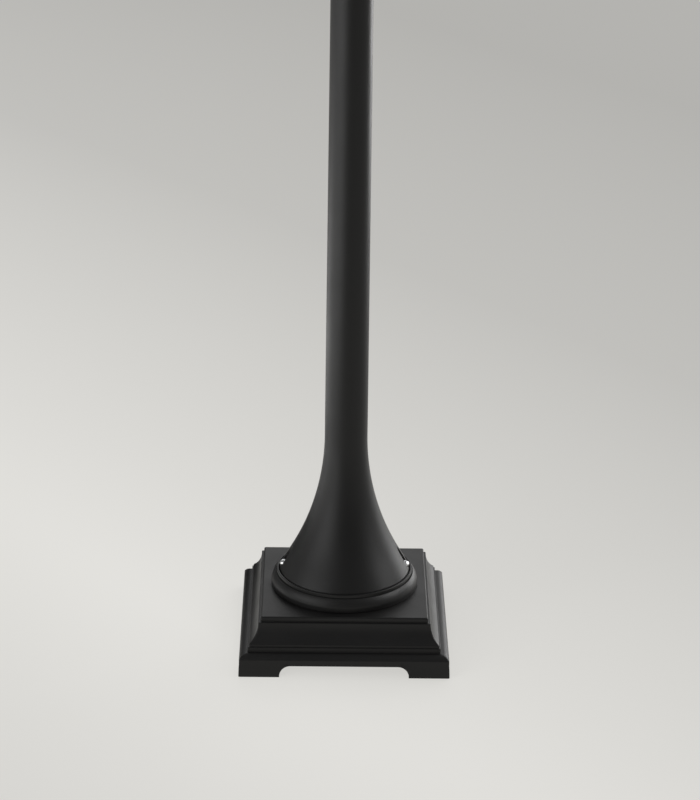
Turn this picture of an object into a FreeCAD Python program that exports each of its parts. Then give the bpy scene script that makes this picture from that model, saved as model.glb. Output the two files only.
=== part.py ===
import FreeCAD
import Part
import math
import os

# Bollard lantern: a square moulded plinth carries a round collar, a trumpet-shaped post foot,
# a slim pole and a four-pane lantern head with a lift-off roof.
# Millimetres, +Z up, front is -Y, origin on the ground under the middle of the plinth.

# Fits that are shared by many pieces
seat_gap = 0.3
thread_gap = 0.1
hole_gap = 0.25
overcut = 1.0

# Plinth, from the ground up
plinth_side = 200.0
apron_height = 17.4
apron_draft = 0.6
shoulder_rise = 4.9
shoulder_run = 8.0
shoulder_bulge = 1.3
fillet_height = 4.7
quirk_height = 2.2
quirk_run = 1.4
cove_height = 19.0
cove_run = 8.4
cove_hollow = 2.3
slab_height = 5.0
slab_ledge = 2.4
slab_round = 1.4
plinth_wall = 6.3
slab_thickness = 6.0
foot_length = 38.7
arch_height = 11.5
arch_round = 10.5
anchor_pcd = 80.0
anchor_hole = 4.5
anchor_boss = 10.0
anchor_boss_depth = 12.0

# Collar ring on the plinth
collar_wall = 7.1
collar_height = 16.4
collar_foot_height = 4.6
collar_bulge = 1.2
shelf_thickness = 7.0
shelf_width = 14.4
rim_gap = 0.8
lip_width = 1.9
lip_height = 2.8
lip_round = 0.7
seal_inset = 4.0
seal_width = 3.6
seal_depth = 1.5
collar_screw_inset = 5.0

# Post foot and pole
pole_radius = 20.35
pole_top_radius = 19.25
pole_length = 461.6
tube_wall = 3.4
flare_radius = 244.2
flare_angle = 29.55
cone_height = 18.6
foot_height = 9.2
neck_straight = 20.0
lug_radius = 4.0
lug_height = 12.3
pocket_radius = 5.0
pocket_reach = 8.3
pocket_wall = 2.6
sleeve_wall = 3.2
sleeve_overlap = 40.0

# Screws
m3_shank = 1.5
m3_head = 2.8
m3_head_height = 1.9
m4_shank = 2.0
m4_head = 3.9
m4_head_height = 3.6
foot_screw_grip = 14.0
collar_screw_length = 12.0
screw_boss_wall = 4.0
recess_width = 0.8
recess_share = 0.6
recess_depth_share = 0.5
head_rim_share = 0.35
head_dome_share = 0.2
tip_bevel_share = 0.3

# Cable gland in the middle of the slab
gland_bore = 6.0
gland_stem = 9.9
gland_flats = 24.0
gland_flange = 6.0
gland_neck = 8.0
gland_tail = 8.0
gland_seal_height = 6.0
gland_cap_wall = 1.6
lock_nut_height = 5.0

# Terminal block and earth stud on the slab
block_width = 34.0
block_depth = 18.0
block_height = 22.0
block_place = 33.0
block_screw_spread = 13.5
block_screw_bite = 5.0
pole_count = 3
terminal_pitch = 10.0
terminal_level = 15.0
terminal_length = 5.0
earth_place = -34.0
earth_shank = 2.5
earth_height = 16.0
earth_nut_flats = 8.0
earth_nut_height = 4.0

# Inner lead from the terminal block to the lampholder
lead_radius = 3.5
lead_rise = 30.0
lead_lean = 80.0
lead_bend_share = 0.45

# Neck casting on the pole
neck_spigot = 45.0
neck_bore = 7.0
bead_height = 9.0
bead_bulge = 3.4
bead_start = 20.6
waist_radius = 20.0
flange_radius = 44.0
flange_edge = 3.0
neck_height = 34.0
neck_hollow = 5.0
set_screw_drop = 22.0
set_screw_radius = 2.5
set_screw_depth = 7.0
grommet_height = 6.0

# Lantern pan
pan_half = 56.0
pan_height = 22.0
pan_cove_rise = 10.0
pan_cove_run = 4.0
pan_cove_hollow = 1.3
pan_step = 3.0
pan_step_rise = 2.0
pan_floor = 8.0
pan_well_half = 39.0
pan_screw_circle = 32.0
pan_screw_bite = 6.0
weep_radius = 2.0
weep_place = 34.0
glass_stop_height = 4.0
glass_stop_width = 3.4

# Corner bars and glass
cage_low_half = 54.0
cage_high_half = 70.0
cage_height = 156.0
bar_leg = 12.5
bar_skin = 3.0
bar_core = 7.0
bar_screw_bite = 9.0
bar_screw_sink = 8.0
glass_thickness = 3.0

# Top frame and roof
frame_half = 85.0
frame_opening = 58.0
frame_thickness = 6.0
upstand_height = 5.0
upstand_width = 3.0
upstand_half = 69.5
fascia_gap = 2.0
fascia_drop = 1.5
fascia_height = 11.5
roof_wall = 3.0
eave_run = 3.5
eave_rise = 2.5
roof_rise = 51.5
roof_hollow = 8.0
roof_cap_half = 17.0
roof_cap_height = 2.0
roof_cap_wall = 5.0
rib_width = 4.0
gasket_thickness = 1.5
finial_foot_radius = 14.0
finial_foot_height = 4.0
finial_foot_bulge = 1.0
finial_neck_radius = 5.5
finial_neck_height = 5.0
finial_ball_radius = 11.0
finial_tip_height = 7.0
finial_tip_radius = 1.0
finial_tip_hollow = 1.0
finial_stud = 3.0
finial_stud_length = 13.0
finial_nut_flats = 10.0
finial_nut_height = 5.0

# Thumb screws that clamp the roof to the top frame
thumb_shank = 2.0
thumb_boss_radius = 5.5
thumb_boss_height = 2.0
thumb_washer_radius = 4.6
thumb_washer_thickness = 1.2
thumb_head_radius = 6.0
thumb_head_length = 8.0
thumb_grip_count = 18
thumb_grip_depth = 0.5
thumb_tip_gap = 0.25

# Lampholder and lamp
holder_radius = 19.0
holder_height = 44.0
holder_flange_radius = 28.0
holder_flange_height = 4.0
holder_base = 16.0
holder_screw_circle = 23.9
socket_gap = 0.5
contact_radius = 5.0
contact_height = 2.8
cap_radius = 13.3
cap_ridge = 0.8
cap_ridge_count = 5
cap_pitch = 3.629
cap_tip_radius = 4.5
cap_tip_height = 1.5
cap_cone_height = 5.5
cap_collar_height = 3.0
bulb_radius = 30.0
bulb_neck_radius = 13.0
bulb_neck_height = 24.5
bulb_neck_hollow = 0.7
bulb_join_angle = 55.0
bulb_wall = 1.0
stem_radius = 3.0
stem_foot_radius = 9.0
stem_foot_height = 2.0
spider_radius = 9.0
spider_height = 1.0
spider_low = 18.0
filament_length = 34.0
filament_radius = 0.9
filament_circle = 7.5
filament_count = 4
lamp_seal_height = 4.0

# Levels and half-widths worked out from the sizes above
apron_half = plinth_side / 2 - apron_draft
fillet_half = apron_half - shoulder_run
cove_foot_half = fillet_half - quirk_run
cove_head_half = cove_foot_half - cove_run
slab_half = cove_head_half - slab_ledge
shoulder_top = apron_height + shoulder_rise
fillet_top = shoulder_top + fillet_height
quirk_top = fillet_top + quirk_height
cove_top = quirk_top + cove_height
slab_top = cove_top + slab_height
slab_bottom = slab_top - slab_thickness

shelf_top = slab_top + shelf_thickness
collar_top = slab_top + collar_height
flare_turn = math.radians(flare_angle)
flare_drop = flare_radius * math.sin(flare_turn)
foot_top = shelf_top + foot_height
cone_top = foot_top + cone_height
flare_top = cone_top + flare_drop
cone_top_radius = pole_radius + flare_radius * (1 - math.cos(flare_turn))
foot_radius = cone_top_radius + cone_height * math.tan(flare_turn)
rim_inner = foot_radius + rim_gap
collar_radius = rim_inner + collar_wall
shelf_inner = rim_inner - shelf_width
collar_screw_circle = shelf_inner + collar_screw_inset
foot_screw_circle = foot_radius - lug_radius
pocket_floor = shelf_top + lug_height
tube_bore = pole_radius - tube_wall
pole_bottom = flare_top + neck_straight
pole_top = pole_bottom + pole_length

neck_top = pole_top + neck_height
pan_floor_top = neck_top + pan_floor
pan_top = neck_top + pan_height
cage_top = pan_top + cage_height
cage_lean = (cage_high_half - cage_low_half) / cage_height
glass_inset = bar_skin + seat_gap
frame_top = cage_top + frame_thickness
gasket_top = frame_top + gasket_thickness
fascia_bottom = cage_top - fascia_drop
fascia_top = fascia_bottom + fascia_height
fascia_inner = frame_half + fascia_gap
fascia_outer = fascia_inner + roof_wall
eave_half = fascia_outer - eave_run
eave_top = fascia_top + eave_rise
roof_shoulder = eave_top + roof_rise
roof_top = roof_shoulder + roof_cap_height
rib_inner = upstand_half + seat_gap
rib_outer = rib_inner + rib_width

holder_top = pan_floor_top + holder_height
socket_floor = pan_floor_top + holder_base
lamp_bottom = socket_floor + contact_height + seat_gap
thread_bottom = lamp_bottom + cap_tip_height + cap_cone_height
cap_top = thread_bottom + cap_ridge_count * cap_pitch + cap_collar_height
bulb_join = cap_top + bulb_neck_height
bulb_centre = bulb_join + bulb_radius * math.sin(math.radians(bulb_join_angle))
socket_radius = cap_radius + socket_gap

origin = FreeCAD.Vector(0, 0, 0)
x_axis = FreeCAD.Vector(1, 0, 0)
y_axis = FreeCAD.Vector(0, 1, 0)
z_axis = FreeCAD.Vector(0, 0, 1)


class Outline:
    """A closed outline in the XZ plane, drawn anticlockwise with lines and arcs."""

    def __init__(self, x, z):
        self.start = FreeCAD.Vector(x, 0, z)
        self.pen = self.start
        self.edges = []

    def line(self, x, z):
        """Draw a straight edge to a point."""
        end = FreeCAD.Vector(x, 0, z)
        if end.distanceToPoint(self.pen) > 1e-6:
            self.edges.append(Part.LineSegment(self.pen, end).toShape())
        self.pen = end
        return self

    def arc(self, x, z, bulge):
        """Draw an arc to a point, swelling to the right of the pen's travel by the bulge."""
        end = FreeCAD.Vector(x, 0, z)
        run = end - self.pen
        right = FreeCAD.Vector(run.z, 0, -run.x).normalize()
        middle = (self.pen + end) * 0.5 + right * bulge
        self.edges.append(Part.Arc(self.pen, middle, end).toShape())
        self.pen = end
        return self

    def face(self):
        """Close the outline and fill it."""
        self.line(self.start.x, self.start.z)
        return Part.Face(Part.Wire(self.edges))


def one_solid(shape):
    """Give the single solid of a shape, facing outwards."""
    solid = shape.Solids[0]
    if solid.Volume < 0:
        solid.reverse()
    return solid


def turned(outline):
    """Turn an outline about the vertical axis."""
    return one_solid(outline.face().revolve(origin, z_axis, 360))


def moulded(outline):
    """Carry the right half of a section round a square, with mitred corners."""
    half = outline.face()
    reach = half.BoundBox.XMax + overcut
    right = half.extrude(y_axis * 2 * reach)
    right.translate(y_axis * -reach)
    bar = right.fuse(right.mirror(origin, x_axis)).removeSplitter()
    crossing = bar.copy()
    crossing.rotate(origin, z_axis, 90)
    return one_solid(bar.common(crossing).removeSplitter())


def rod(radius, low, high, x=0.0, y=0.0):
    """A vertical cylinder between two levels."""
    return Part.makeCylinder(radius, high - low, FreeCAD.Vector(x, y, low))


def pipe(outer, inner, low, high, x=0.0, y=0.0):
    """A vertical tube between two levels."""
    return rod(outer, low, high, x, y).cut(rod(inner, low, high, x, y))


def side_rod(radius, start, end, z):
    """A cylinder along +X at a level, between two distances from the axis."""
    return Part.makeCylinder(radius, end - start, FreeCAD.Vector(start, 0, z), x_axis)


def block(x_low, x_high, y_low, y_high, z_low, z_high):
    """A box between three pairs of limits."""
    corner = FreeCAD.Vector(x_low, y_low, z_low)
    return Part.makeBox(x_high - x_low, y_high - y_low, z_high - z_low, corner)


def square_ring(outer, inner, low, high):
    """A square frame given by its half-widths, between two levels."""
    whole = block(-outer, outer, -outer, outer, low, high)
    return whole.cut(block(-inner, inner, -inner, inner, low, high))


def hexagon(flats, low, high, x=0.0, y=0.0):
    """A hexagonal bar, given across its flats."""
    corner = flats / math.sqrt(3)
    points = []
    for index in range(7):
        turn = math.radians(60 * index)
        points.append(FreeCAD.Vector(x + corner * math.cos(turn), y + corner * math.sin(turn), low))
    return Part.Face(Part.makePolygon(points)).extrude(z_axis * (high - low))


def spun(shape, degrees):
    """A copy of a shape turned about the vertical axis."""
    copy = shape.copy()
    copy.rotate(origin, z_axis, degrees)
    return copy


def placed(shape, x, y, z):
    """A copy of a shape moved to a point."""
    copy = shape.copy()
    copy.translate(FreeCAD.Vector(x, y, z))
    return copy


def ring_points(circle, count, start):
    """Points evenly spaced on a circle about the axis."""
    points = []
    for index in range(count):
        turn = math.radians(start + index * 360 / count)
        points.append((circle * math.cos(turn), circle * math.sin(turn)))
    return points


def drilled(shape, radius, low, high, points):
    """Drill the same vertical hole at several points."""
    for x, y in points:
        shape = shape.cut(rod(radius, low, high, x, y))
    return shape


def joined(shapes):
    """Separate solids kept together as one group."""
    return Part.makeCompound(shapes)


def pan_screw(shank, head, head_height, length):
    """A dome-headed cross-recess screw, head up, its seat at the origin."""
    rim = head_height * head_rim_share
    bevel = shank * tip_bevel_share
    outline = Outline(0, -length).line(shank - bevel, -length).line(shank, bevel - length)
    outline.line(shank, 0).line(head, 0).line(head, rim)
    outline.arc(0, head_height, head * head_dome_share)
    screw = turned(outline)
    arm = head * recess_share
    depth = head_height * recess_depth_share
    half = recess_width / 2
    for arm_x, arm_y in ((arm, half), (half, arm)):
        screw = screw.cut(block(-arm_x, arm_x, -arm_y, arm_y, head_height - depth, head_height + depth))
    return one_solid(screw)


def flush_screw(shank, head, length):
    """A countersunk slotted screw, head up, its flat top at the origin."""
    sink = head - shank
    outline = Outline(0, -length).line(shank, -length).line(shank, -sink).line(head, 0).line(0, 0)
    slot = block(-head, head, -recess_width / 2, recess_width / 2, -sink / 2, overcut)
    return one_solid(turned(outline).cut(slot))


def countersink(shank, head, low, top, x, y):
    """The hole that a countersunk screw drops into."""
    sink = head - shank
    hole = shank + hole_gap
    outline = Outline(0, low).line(hole, low).line(hole, top - sink)
    outline.line(head + hole_gap, top).line(head + hole_gap, top + overcut).line(0, top + overcut)
    return placed(turned(outline), x, y, 0)


anchor_points = ring_points(anchor_pcd / 2, 4, 45)
collar_screw_points = ring_points(collar_screw_circle, 4, 45)
foot_screw_points = ring_points(foot_screw_circle, 2, 0)
block_screw_points = [(-block_screw_spread, block_place), (block_screw_spread, block_place)]
pan_screw_points = ring_points(pan_screw_circle, 4, 45)
holder_screw_points = ring_points(holder_screw_circle, 2, 0)
foot_screw_length = lug_height + shelf_thickness + foot_screw_grip


def plinth_outline():
    """The moulded right half of the plinth's section."""
    outline = Outline(0, 0).line(plinth_side / 2, 0).line(apron_half, apron_height)
    outline.arc(fillet_half, shoulder_top, shoulder_bulge)
    outline.line(fillet_half, fillet_top).line(cove_foot_half, fillet_top)
    outline.line(cove_foot_half, quirk_top)
    outline.arc(cove_head_half, cove_top, -cove_hollow)
    outline.line(slab_half, cove_top).line(slab_half, slab_top - slab_round)
    outline.arc(slab_half - slab_round, slab_top, slab_round * (1 - math.sqrt(0.5)))
    return outline.line(0, slab_top)


def plinth_hollow():
    """The space under the plinth, tapering in to the slab."""
    low_half = apron_half - plinth_wall
    high_half = slab_half - plinth_wall
    outline = Outline(0, -overcut).line(low_half, -overcut).line(low_half, apron_height - apron_draft)
    return moulded(outline.line(high_half, slab_bottom).line(0, slab_bottom))


def foot_arch():
    """The opening between two feet, running right through from front to back."""
    half = plinth_side / 2 - foot_length
    straight = arch_height - arch_round
    inner = half - arch_round
    swell = arch_round * (1 - math.sqrt(0.5))
    outline = Outline(-half, -overcut).line(half, -overcut).line(half, straight)
    outline.arc(inner, arch_height, swell).line(-inner, arch_height)
    outline.arc(-half, straight, swell)
    opening = outline.face().extrude(y_axis * (plinth_side + 2 * overcut))
    opening.translate(y_axis * -(plinth_side / 2 + overcut))
    return opening


def plinth():
    """Square cast plinth with bracket feet, anchor bosses and a cable hole."""
    body = moulded(plinth_outline()).cut(plinth_hollow())
    for turn in (0, 90):
        body = body.cut(spun(foot_arch(), turn))
    for x, y in anchor_points:
        body = body.fuse(rod(anchor_boss, slab_bottom - anchor_boss_depth, slab_bottom, x, y))
    screw_low = slab_top - foot_screw_grip - overcut
    for x, y in foot_screw_points:
        body = body.fuse(rod(m4_shank + screw_boss_wall, screw_low - overcut, slab_bottom, x, y))
    body = body.removeSplitter()
    body = drilled(body, anchor_hole, -overcut, slab_top + overcut, anchor_points)
    body = drilled(body, m4_shank + thread_gap, screw_low, slab_top + overcut, foot_screw_points)
    under = slab_bottom - overcut
    above = slab_top + overcut
    body = drilled(body, m4_shank + thread_gap, under, above, collar_screw_points)
    body = drilled(body, m3_shank + thread_gap, under, above, block_screw_points)
    body = drilled(body, earth_shank + thread_gap, under, above, [(0, earth_place)])
    return one_solid(drilled(body, gland_stem + hole_gap, under, above, [(0, 0)]))


def collar_ring():
    """Round collar with a thin lip, and an inner shelf for the post foot."""
    lip_outer = rim_inner + lip_width
    outline = Outline(shelf_inner, slab_top).line(collar_radius, slab_top)
    outline.line(collar_radius, slab_top + collar_foot_height)
    outline.arc(lip_outer, collar_top - lip_height, collar_bulge)
    outline.line(lip_outer, collar_top - lip_round)
    outline.arc(lip_outer - lip_round, collar_top, lip_round * (1 - math.sqrt(0.5)))
    outline.line(rim_inner, collar_top).line(rim_inner, shelf_top)
    ring = turned(outline.line(shelf_inner, shelf_top))
    groove_outer = collar_radius - seal_inset + seat_gap
    groove_inner = collar_radius - seal_inset - seal_width - seat_gap
    ring = ring.cut(pipe(groove_outer, groove_inner, slab_top, slab_top + seal_depth + thread_gap))
    ring = drilled(ring, m4_shank + hole_gap, slab_top - overcut, shelf_top + overcut, foot_screw_points)
    for x, y in collar_screw_points:
        ring = ring.cut(countersink(m4_shank, m4_head, slab_top - overcut, shelf_top, x, y))
    return one_solid(ring)


def collar_seal():
    """Rubber seal in the groove under the collar."""
    outer = collar_radius - seal_inset
    return pipe(outer, outer - seal_width, slab_top, slab_top + seal_depth)


def collar_screws():
    """Countersunk screws that hold the collar to the slab."""
    screw = flush_screw(m4_shank, m4_head, collar_screw_length)
    return joined([placed(screw, x, y, shelf_top) for x, y in collar_screw_points])


def post_foot_outline(inset):
    """The post foot's section out to its face, moved in by a wall."""
    centre = pole_radius + flare_radius
    reach = flare_radius + inset
    cone_end = centre - reach * math.cos(flare_turn)
    cone_level = flare_top - reach * math.sin(flare_turn)
    foot = cone_end + (cone_level - foot_top) * math.tan(flare_turn)
    swell = reach * (1 - math.cos(flare_turn / 2))
    outline = Outline(0, shelf_top).line(foot, shelf_top).line(foot, foot_top)
    outline.line(cone_end, cone_level)
    outline.arc(pole_radius - inset, flare_top, -swell)
    return outline.line(pole_radius - inset, pole_bottom).line(0, pole_bottom)


def screw_channel(half, low):
    """An upright channel round the right-hand foot screw, round inside and open outwards."""
    middle = foot_screw_circle - pocket_reach + pocket_radius
    outer = foot_radius + overcut
    near = FreeCAD.Vector(middle, -half, low)
    far = FreeCAD.Vector(middle, half, low)
    inner_end = Part.Arc(far, FreeCAD.Vector(middle - half, 0, low), near).toShape()
    mouth = [near, FreeCAD.Vector(outer, -half, low), FreeCAD.Vector(outer, half, low), far]
    wire = Part.Wire([inner_end] + Part.makePolygon(mouth).Edges)
    return Part.Face(wire).extrude(z_axis * (flare_top - low))


def post_foot():
    """Trumpet-shaped casting with two screw pockets in its sides."""
    envelope = turned(post_foot_outline(0))
    shell = envelope.cut(turned(post_foot_outline(tube_wall)))
    backing = screw_channel(pocket_radius + pocket_wall, shelf_top).common(envelope)
    lug = rod(lug_radius, shelf_top, pocket_floor, foot_screw_circle)
    pocket = screw_channel(pocket_radius, pocket_floor)
    for turn in (0, 180):
        shell = shell.fuse(spun(backing, turn)).fuse(spun(lug, turn))
        shell = shell.cut(spun(pocket, turn))
    shell = drilled(shell, m4_shank + hole_gap, shelf_top - overcut, flare_top, foot_screw_points)
    return one_solid(shell)


def post_foot_screws():
    """Bright dome-headed screws in the side pockets."""
    screw = pan_screw(m4_shank, m4_head, m4_head_height, foot_screw_length)
    return joined([placed(screw, x, y, pocket_floor) for x, y in foot_screw_points])


def joint_sleeve():
    """Sleeve inside the joint of foot and pole."""
    outer = tube_bore - thread_gap
    return pipe(outer, outer - sleeve_wall, flare_top, pole_bottom + sleeve_overlap)


def pole():
    """Slim pole tube, tapering slightly to its top."""
    outline = Outline(tube_bore, pole_bottom).line(pole_radius, pole_bottom)
    tube = turned(outline.line(pole_top_radius, pole_top).line(tube_bore, pole_top))
    level = pole_top - set_screw_drop
    reach = pole_radius + overcut
    return one_solid(tube.cut(side_rod(set_screw_radius + thread_gap, -reach, reach, level)))


def gland_body():
    """Cable gland body: hexagon flange on the slab, stem through it."""
    flange_top = slab_top + gland_flange
    body = hexagon(gland_flats, slab_top, flange_top)
    body = body.fuse(rod(gland_stem, slab_bottom - gland_tail, flange_top + gland_neck))
    bore = rod(gland_bore, slab_bottom - gland_tail - overcut, flange_top + gland_neck + overcut)
    return one_solid(body.cut(bore).removeSplitter())


def gland_lock_nut():
    """Hexagon lock nut under the slab."""
    nut = hexagon(gland_flats, slab_bottom - lock_nut_height, slab_bottom)
    return one_solid(nut.cut(rod(gland_stem + thread_gap, slab_bottom - gland_tail, slab_top)))


def gland_seal():
    """Rubber sleeve that grips the supply cable."""
    low = slab_top + gland_flange + gland_neck
    return pipe(gland_stem, gland_bore + hole_gap, low, low + gland_seal_height)


def gland_cap():
    """Domed clamping cap over the gland's seal."""
    low = slab_top + gland_flange
    roof = low + gland_neck + gland_seal_height
    inner = gland_stem + thread_gap
    outer = inner + gland_cap_wall
    high = roof + gland_cap_wall
    outline = Outline(inner, low).line(outer, low).line(outer, roof - gland_cap_wall)
    outline.arc(inner, high, gland_cap_wall / 2)
    outline.line(gland_bore + 2 * hole_gap, high).line(gland_bore + 2 * hole_gap, roof)
    return turned(outline.line(inner, roof))


def terminal_block():
    """Terminal block behind the gland, with its screw wells and lead hole."""
    front = block_place - block_depth / 2
    half = block_width / 2
    top = slab_top + block_height
    body = block(-half, half, front, front + block_depth, slab_top, top)
    for x, y in block_screw_points:
        body = body.cut(countersink(m3_shank, m3_head, slab_top - overcut, top, x, y))
    for index in range(pole_count):
        well = Part.makeCylinder(m3_head + hole_gap, terminal_length, terminal_point(index), y_axis)
        body = body.cut(well)
    return one_solid(body)


def terminal_point(index):
    """Where a terminal screw enters the front of the block."""
    x = (index - (pole_count - 1) / 2) * terminal_pitch
    return FreeCAD.Vector(x, block_place - block_depth / 2, slab_top + terminal_level)


def terminal_screws():
    """Brass clamping screws in the block's wells."""
    screws = []
    for index in range(pole_count):
        point = terminal_point(index)
        body = Part.makeCylinder(m3_head, terminal_length - overcut, point + y_axis * overcut, y_axis)
        half = recess_width / 2
        slot = block(point.x - m3_head, point.x + m3_head, point.y, point.y + 2 * overcut,
                     point.z - half, point.z + half)
        screws.append(one_solid(body.cut(slot)))
    return joined(screws)


def terminal_fixing_screws():
    """Countersunk screws that hold the terminal block to the slab."""
    screw = flush_screw(m3_shank, m3_head, block_height + block_screw_bite)
    return joined([placed(screw, x, y, slab_top + block_height) for x, y in block_screw_points])


def earth_stud():
    """Earth stud screwed into the slab."""
    return rod(earth_shank, slab_bottom, slab_top + earth_height, 0, earth_place)


def earth_nut():
    """Nut on the earth stud."""
    nut = hexagon(earth_nut_flats, slab_top, slab_top + earth_nut_height, 0, earth_place)
    return nut.cut(rod(earth_shank + thread_gap, slab_top, slab_top + earth_nut_height, 0, earth_place))


def inner_lead():
    """Round lead from the terminal block up the pole into the lampholder."""
    low = slab_top + block_height
    points = [FreeCAD.Vector(0, block_place, low)]
    points.append(FreeCAD.Vector(0, block_place, low + lead_rise))
    points.append(FreeCAD.Vector(0, 0, low + lead_rise + lead_lean))
    points.append(FreeCAD.Vector(0, 0, lead_top()))
    pen = points[0]
    edges = []
    for before, corner, after in zip(points, points[1:], points[2:]):
        come = (corner - before).normalize()
        go = (after - corner).normalize()
        turn = come.getAngle(go)
        setback = lead_bend_share * min((corner - before).Length, (after - corner).Length)
        radius = setback / math.tan(turn / 2)
        start = corner - come * setback
        end = corner + go * setback
        inward = (go - come).normalize()
        middle = corner + inward * (radius / math.cos(turn / 2) - radius)
        edges.append(Part.LineSegment(pen, start).toShape())
        edges.append(Part.Arc(start, middle, end).toShape())
        pen = end
        print("lead bend radius", round(radius, 1))
    edges.append(Part.LineSegment(pen, points[-1]).toShape())
    path = Part.Wire(edges)
    section = Part.Wire(Part.makeCircle(lead_radius, points[0], z_axis))
    lead = one_solid(path.makePipeShell([section], True, True))
    print("lead volume over section times length",
          round(lead.Volume / (math.pi * lead_radius ** 2 * path.Length), 4))
    return lead


def lead_top():
    """The level inside the lampholder where the lead ends."""
    return pan_floor_top + holder_base / 2


def neck_casting():
    """Neck on the pole's end: spigot, half-round bead and a flare to the pan's flange."""
    spigot = tube_bore - thread_gap
    bead_top = pole_top + bead_height
    flare_end = neck_top - flange_edge
    outline = Outline(neck_bore, pole_top - neck_spigot).line(spigot, pole_top - neck_spigot)
    outline.line(spigot, pole_top).line(bead_start, pole_top)
    outline.arc(bead_start, bead_top, bead_bulge).line(waist_radius, bead_top)
    outline.arc(flange_radius, flare_end, -neck_hollow).line(flange_radius, neck_top)
    body = turned(outline.line(neck_bore, neck_top))
    level = pole_top - set_screw_drop
    inner = spigot - set_screw_depth
    for turn in (0, 180):
        hole = side_rod(set_screw_radius + thread_gap, inner, pole_radius, level)
        body = body.cut(spun(hole, turn))
    low = neck_top - pan_screw_bite - overcut
    return one_solid(drilled(body, m4_shank + thread_gap, low, neck_top + overcut, pan_screw_points))


def neck_set_screws():
    """Grub screws through the pole into the neck's spigot."""
    level = pole_top - set_screw_drop
    inner = tube_bore - thread_gap - set_screw_depth
    outer = pole_top_radius - seat_gap
    screw = side_rod(set_screw_radius, inner, outer, level)
    key = side_rod(set_screw_radius / 2, outer - set_screw_radius, outer, level)
    screw = one_solid(screw.cut(key))
    return joined([screw, spun(screw, 180)])


def neck_grommet():
    """Rubber bush that holds the lead in the neck's lower end."""
    low = pole_top - neck_spigot
    return pipe(neck_bore - thread_gap, lead_radius + thread_gap, low, low + grommet_height)


def lantern_pan():
    """Square moulded pan that carries the corner bars and the glass."""
    cove_half = pan_half + pan_cove_run
    rim_half = cove_half + pan_step
    cove_end = neck_top + pan_cove_rise
    step_end = cove_end + pan_step_rise
    outline = Outline(0, neck_top).line(pan_half, neck_top)
    outline.arc(cove_half, cove_end, -pan_cove_hollow)
    outline.line(rim_half, step_end).line(rim_half, pan_top - slab_round)
    outline.arc(rim_half - slab_round, pan_top, slab_round * (1 - math.sqrt(0.5)))
    body = moulded(outline.line(0, pan_top))
    body = body.cut(block(-pan_well_half, pan_well_half, -pan_well_half, pan_well_half,
                          pan_floor_top, pan_top))
    stop_outer = cage_low_half - glass_inset - glass_thickness - seat_gap
    stop = block(-pan_well_half, pan_well_half, -stop_outer, glass_stop_width - stop_outer,
                 pan_top, pan_top + glass_stop_height)
    for turn in (0, 90, 180, 270):
        body = body.fuse(spun(stop, turn))
    body = body.removeSplitter()
    body = drilled(body, neck_bore, neck_top - overcut, pan_top, [(0, 0)])
    body = drilled(body, m4_shank + hole_gap, neck_top - overcut, pan_top, pan_screw_points)
    body = drilled(body, m3_shank + thread_gap, neck_top + overcut, pan_top, holder_screw_points)
    weeps = ring_points(weep_place * math.sqrt(2), 4, 45)
    body = drilled(body, weep_radius, neck_top - overcut, pan_top, weeps)
    bars = bar_points(pan_top)
    body = drilled(body, m3_shank + hole_gap, neck_top, pan_top + overcut, bars)
    return one_solid(drilled(body, m3_head + hole_gap, neck_top - overcut, neck_top + bar_screw_sink, bars))


def pan_screws():
    """Dome-headed screws that hold the pan to the neck's flange."""
    screw = pan_screw(m4_shank, m4_head, m4_head_height, pan_floor + pan_screw_bite)
    return joined([placed(screw, x, y, pan_floor_top) for x, y in pan_screw_points])


def cage_half(level):
    """The cage's outer half-width at a level."""
    return cage_low_half + (level - pan_top) * cage_lean


def bar_points(level):
    """Middles of the four corner bars' cores at a level."""
    middle = cage_half(level) - bar_skin - bar_core / 2
    return ring_points(middle * math.sqrt(2), 4, 45)


def corner_bar():
    """Corner bar of the cage at +X +Y: two cover legs and a square core, leaning outwards."""
    outer = cage_low_half
    face = outer - bar_skin
    core = face - bar_core
    leg = outer - bar_leg
    corners = [(outer, outer), (leg, outer), (leg, face), (core, face), (core, core)]
    corners += [(face, core), (face, leg), (outer, leg), (outer, outer)]
    wire = Part.makePolygon([FreeCAD.Vector(x, y, pan_top) for x, y in corners])
    lean = FreeCAD.Vector(cage_lean, cage_lean, 1) * cage_height
    bar = Part.Face(wire).extrude(lean)
    low = [bar_points(pan_top)[0]]
    high = [bar_points(cage_top)[0]]
    bar = drilled(bar, m3_shank + thread_gap, pan_top - overcut, pan_top + bar_screw_bite + overcut, low)
    bar = drilled(bar, m3_shank + thread_gap, cage_top - bar_screw_bite - overcut, cage_top + overcut, high)
    return one_solid(bar)


def lower_bar_screws():
    """Screws up through the pan into the corner bars."""
    length = pan_height - bar_screw_sink + bar_screw_bite
    screw = pan_screw(m3_shank, m3_head, m3_head_height, length)
    screw.rotate(origin, x_axis, 180)
    return joined([placed(screw, x, y, neck_top + bar_screw_sink) for x, y in bar_points(pan_top)])


def upper_bar_screws():
    """Countersunk screws down through the top frame into the corner bars."""
    screw = flush_screw(m3_shank, m3_head, frame_thickness + bar_screw_bite)
    return joined([placed(screw, x, y, frame_top) for x, y in bar_points(cage_top)])


def glass_section(level):
    """The front pane's outline in plan at a level."""
    near = cage_half(level) - glass_inset
    side = cage_half(level) - bar_skin - bar_core - seat_gap
    far = near - glass_thickness
    corners = [(-side, -near), (side, -near), (side, -far), (-side, -far), (-side, -near)]
    return Part.makePolygon([FreeCAD.Vector(x, y, level) for x, y in corners])


def glass_pane():
    """Front glass pane, standing on the pan behind the corner bars' legs."""
    sections = [glass_section(pan_top), glass_section(cage_top - seat_gap)]
    return one_solid(Part.makeLoft(sections, True, True))


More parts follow.
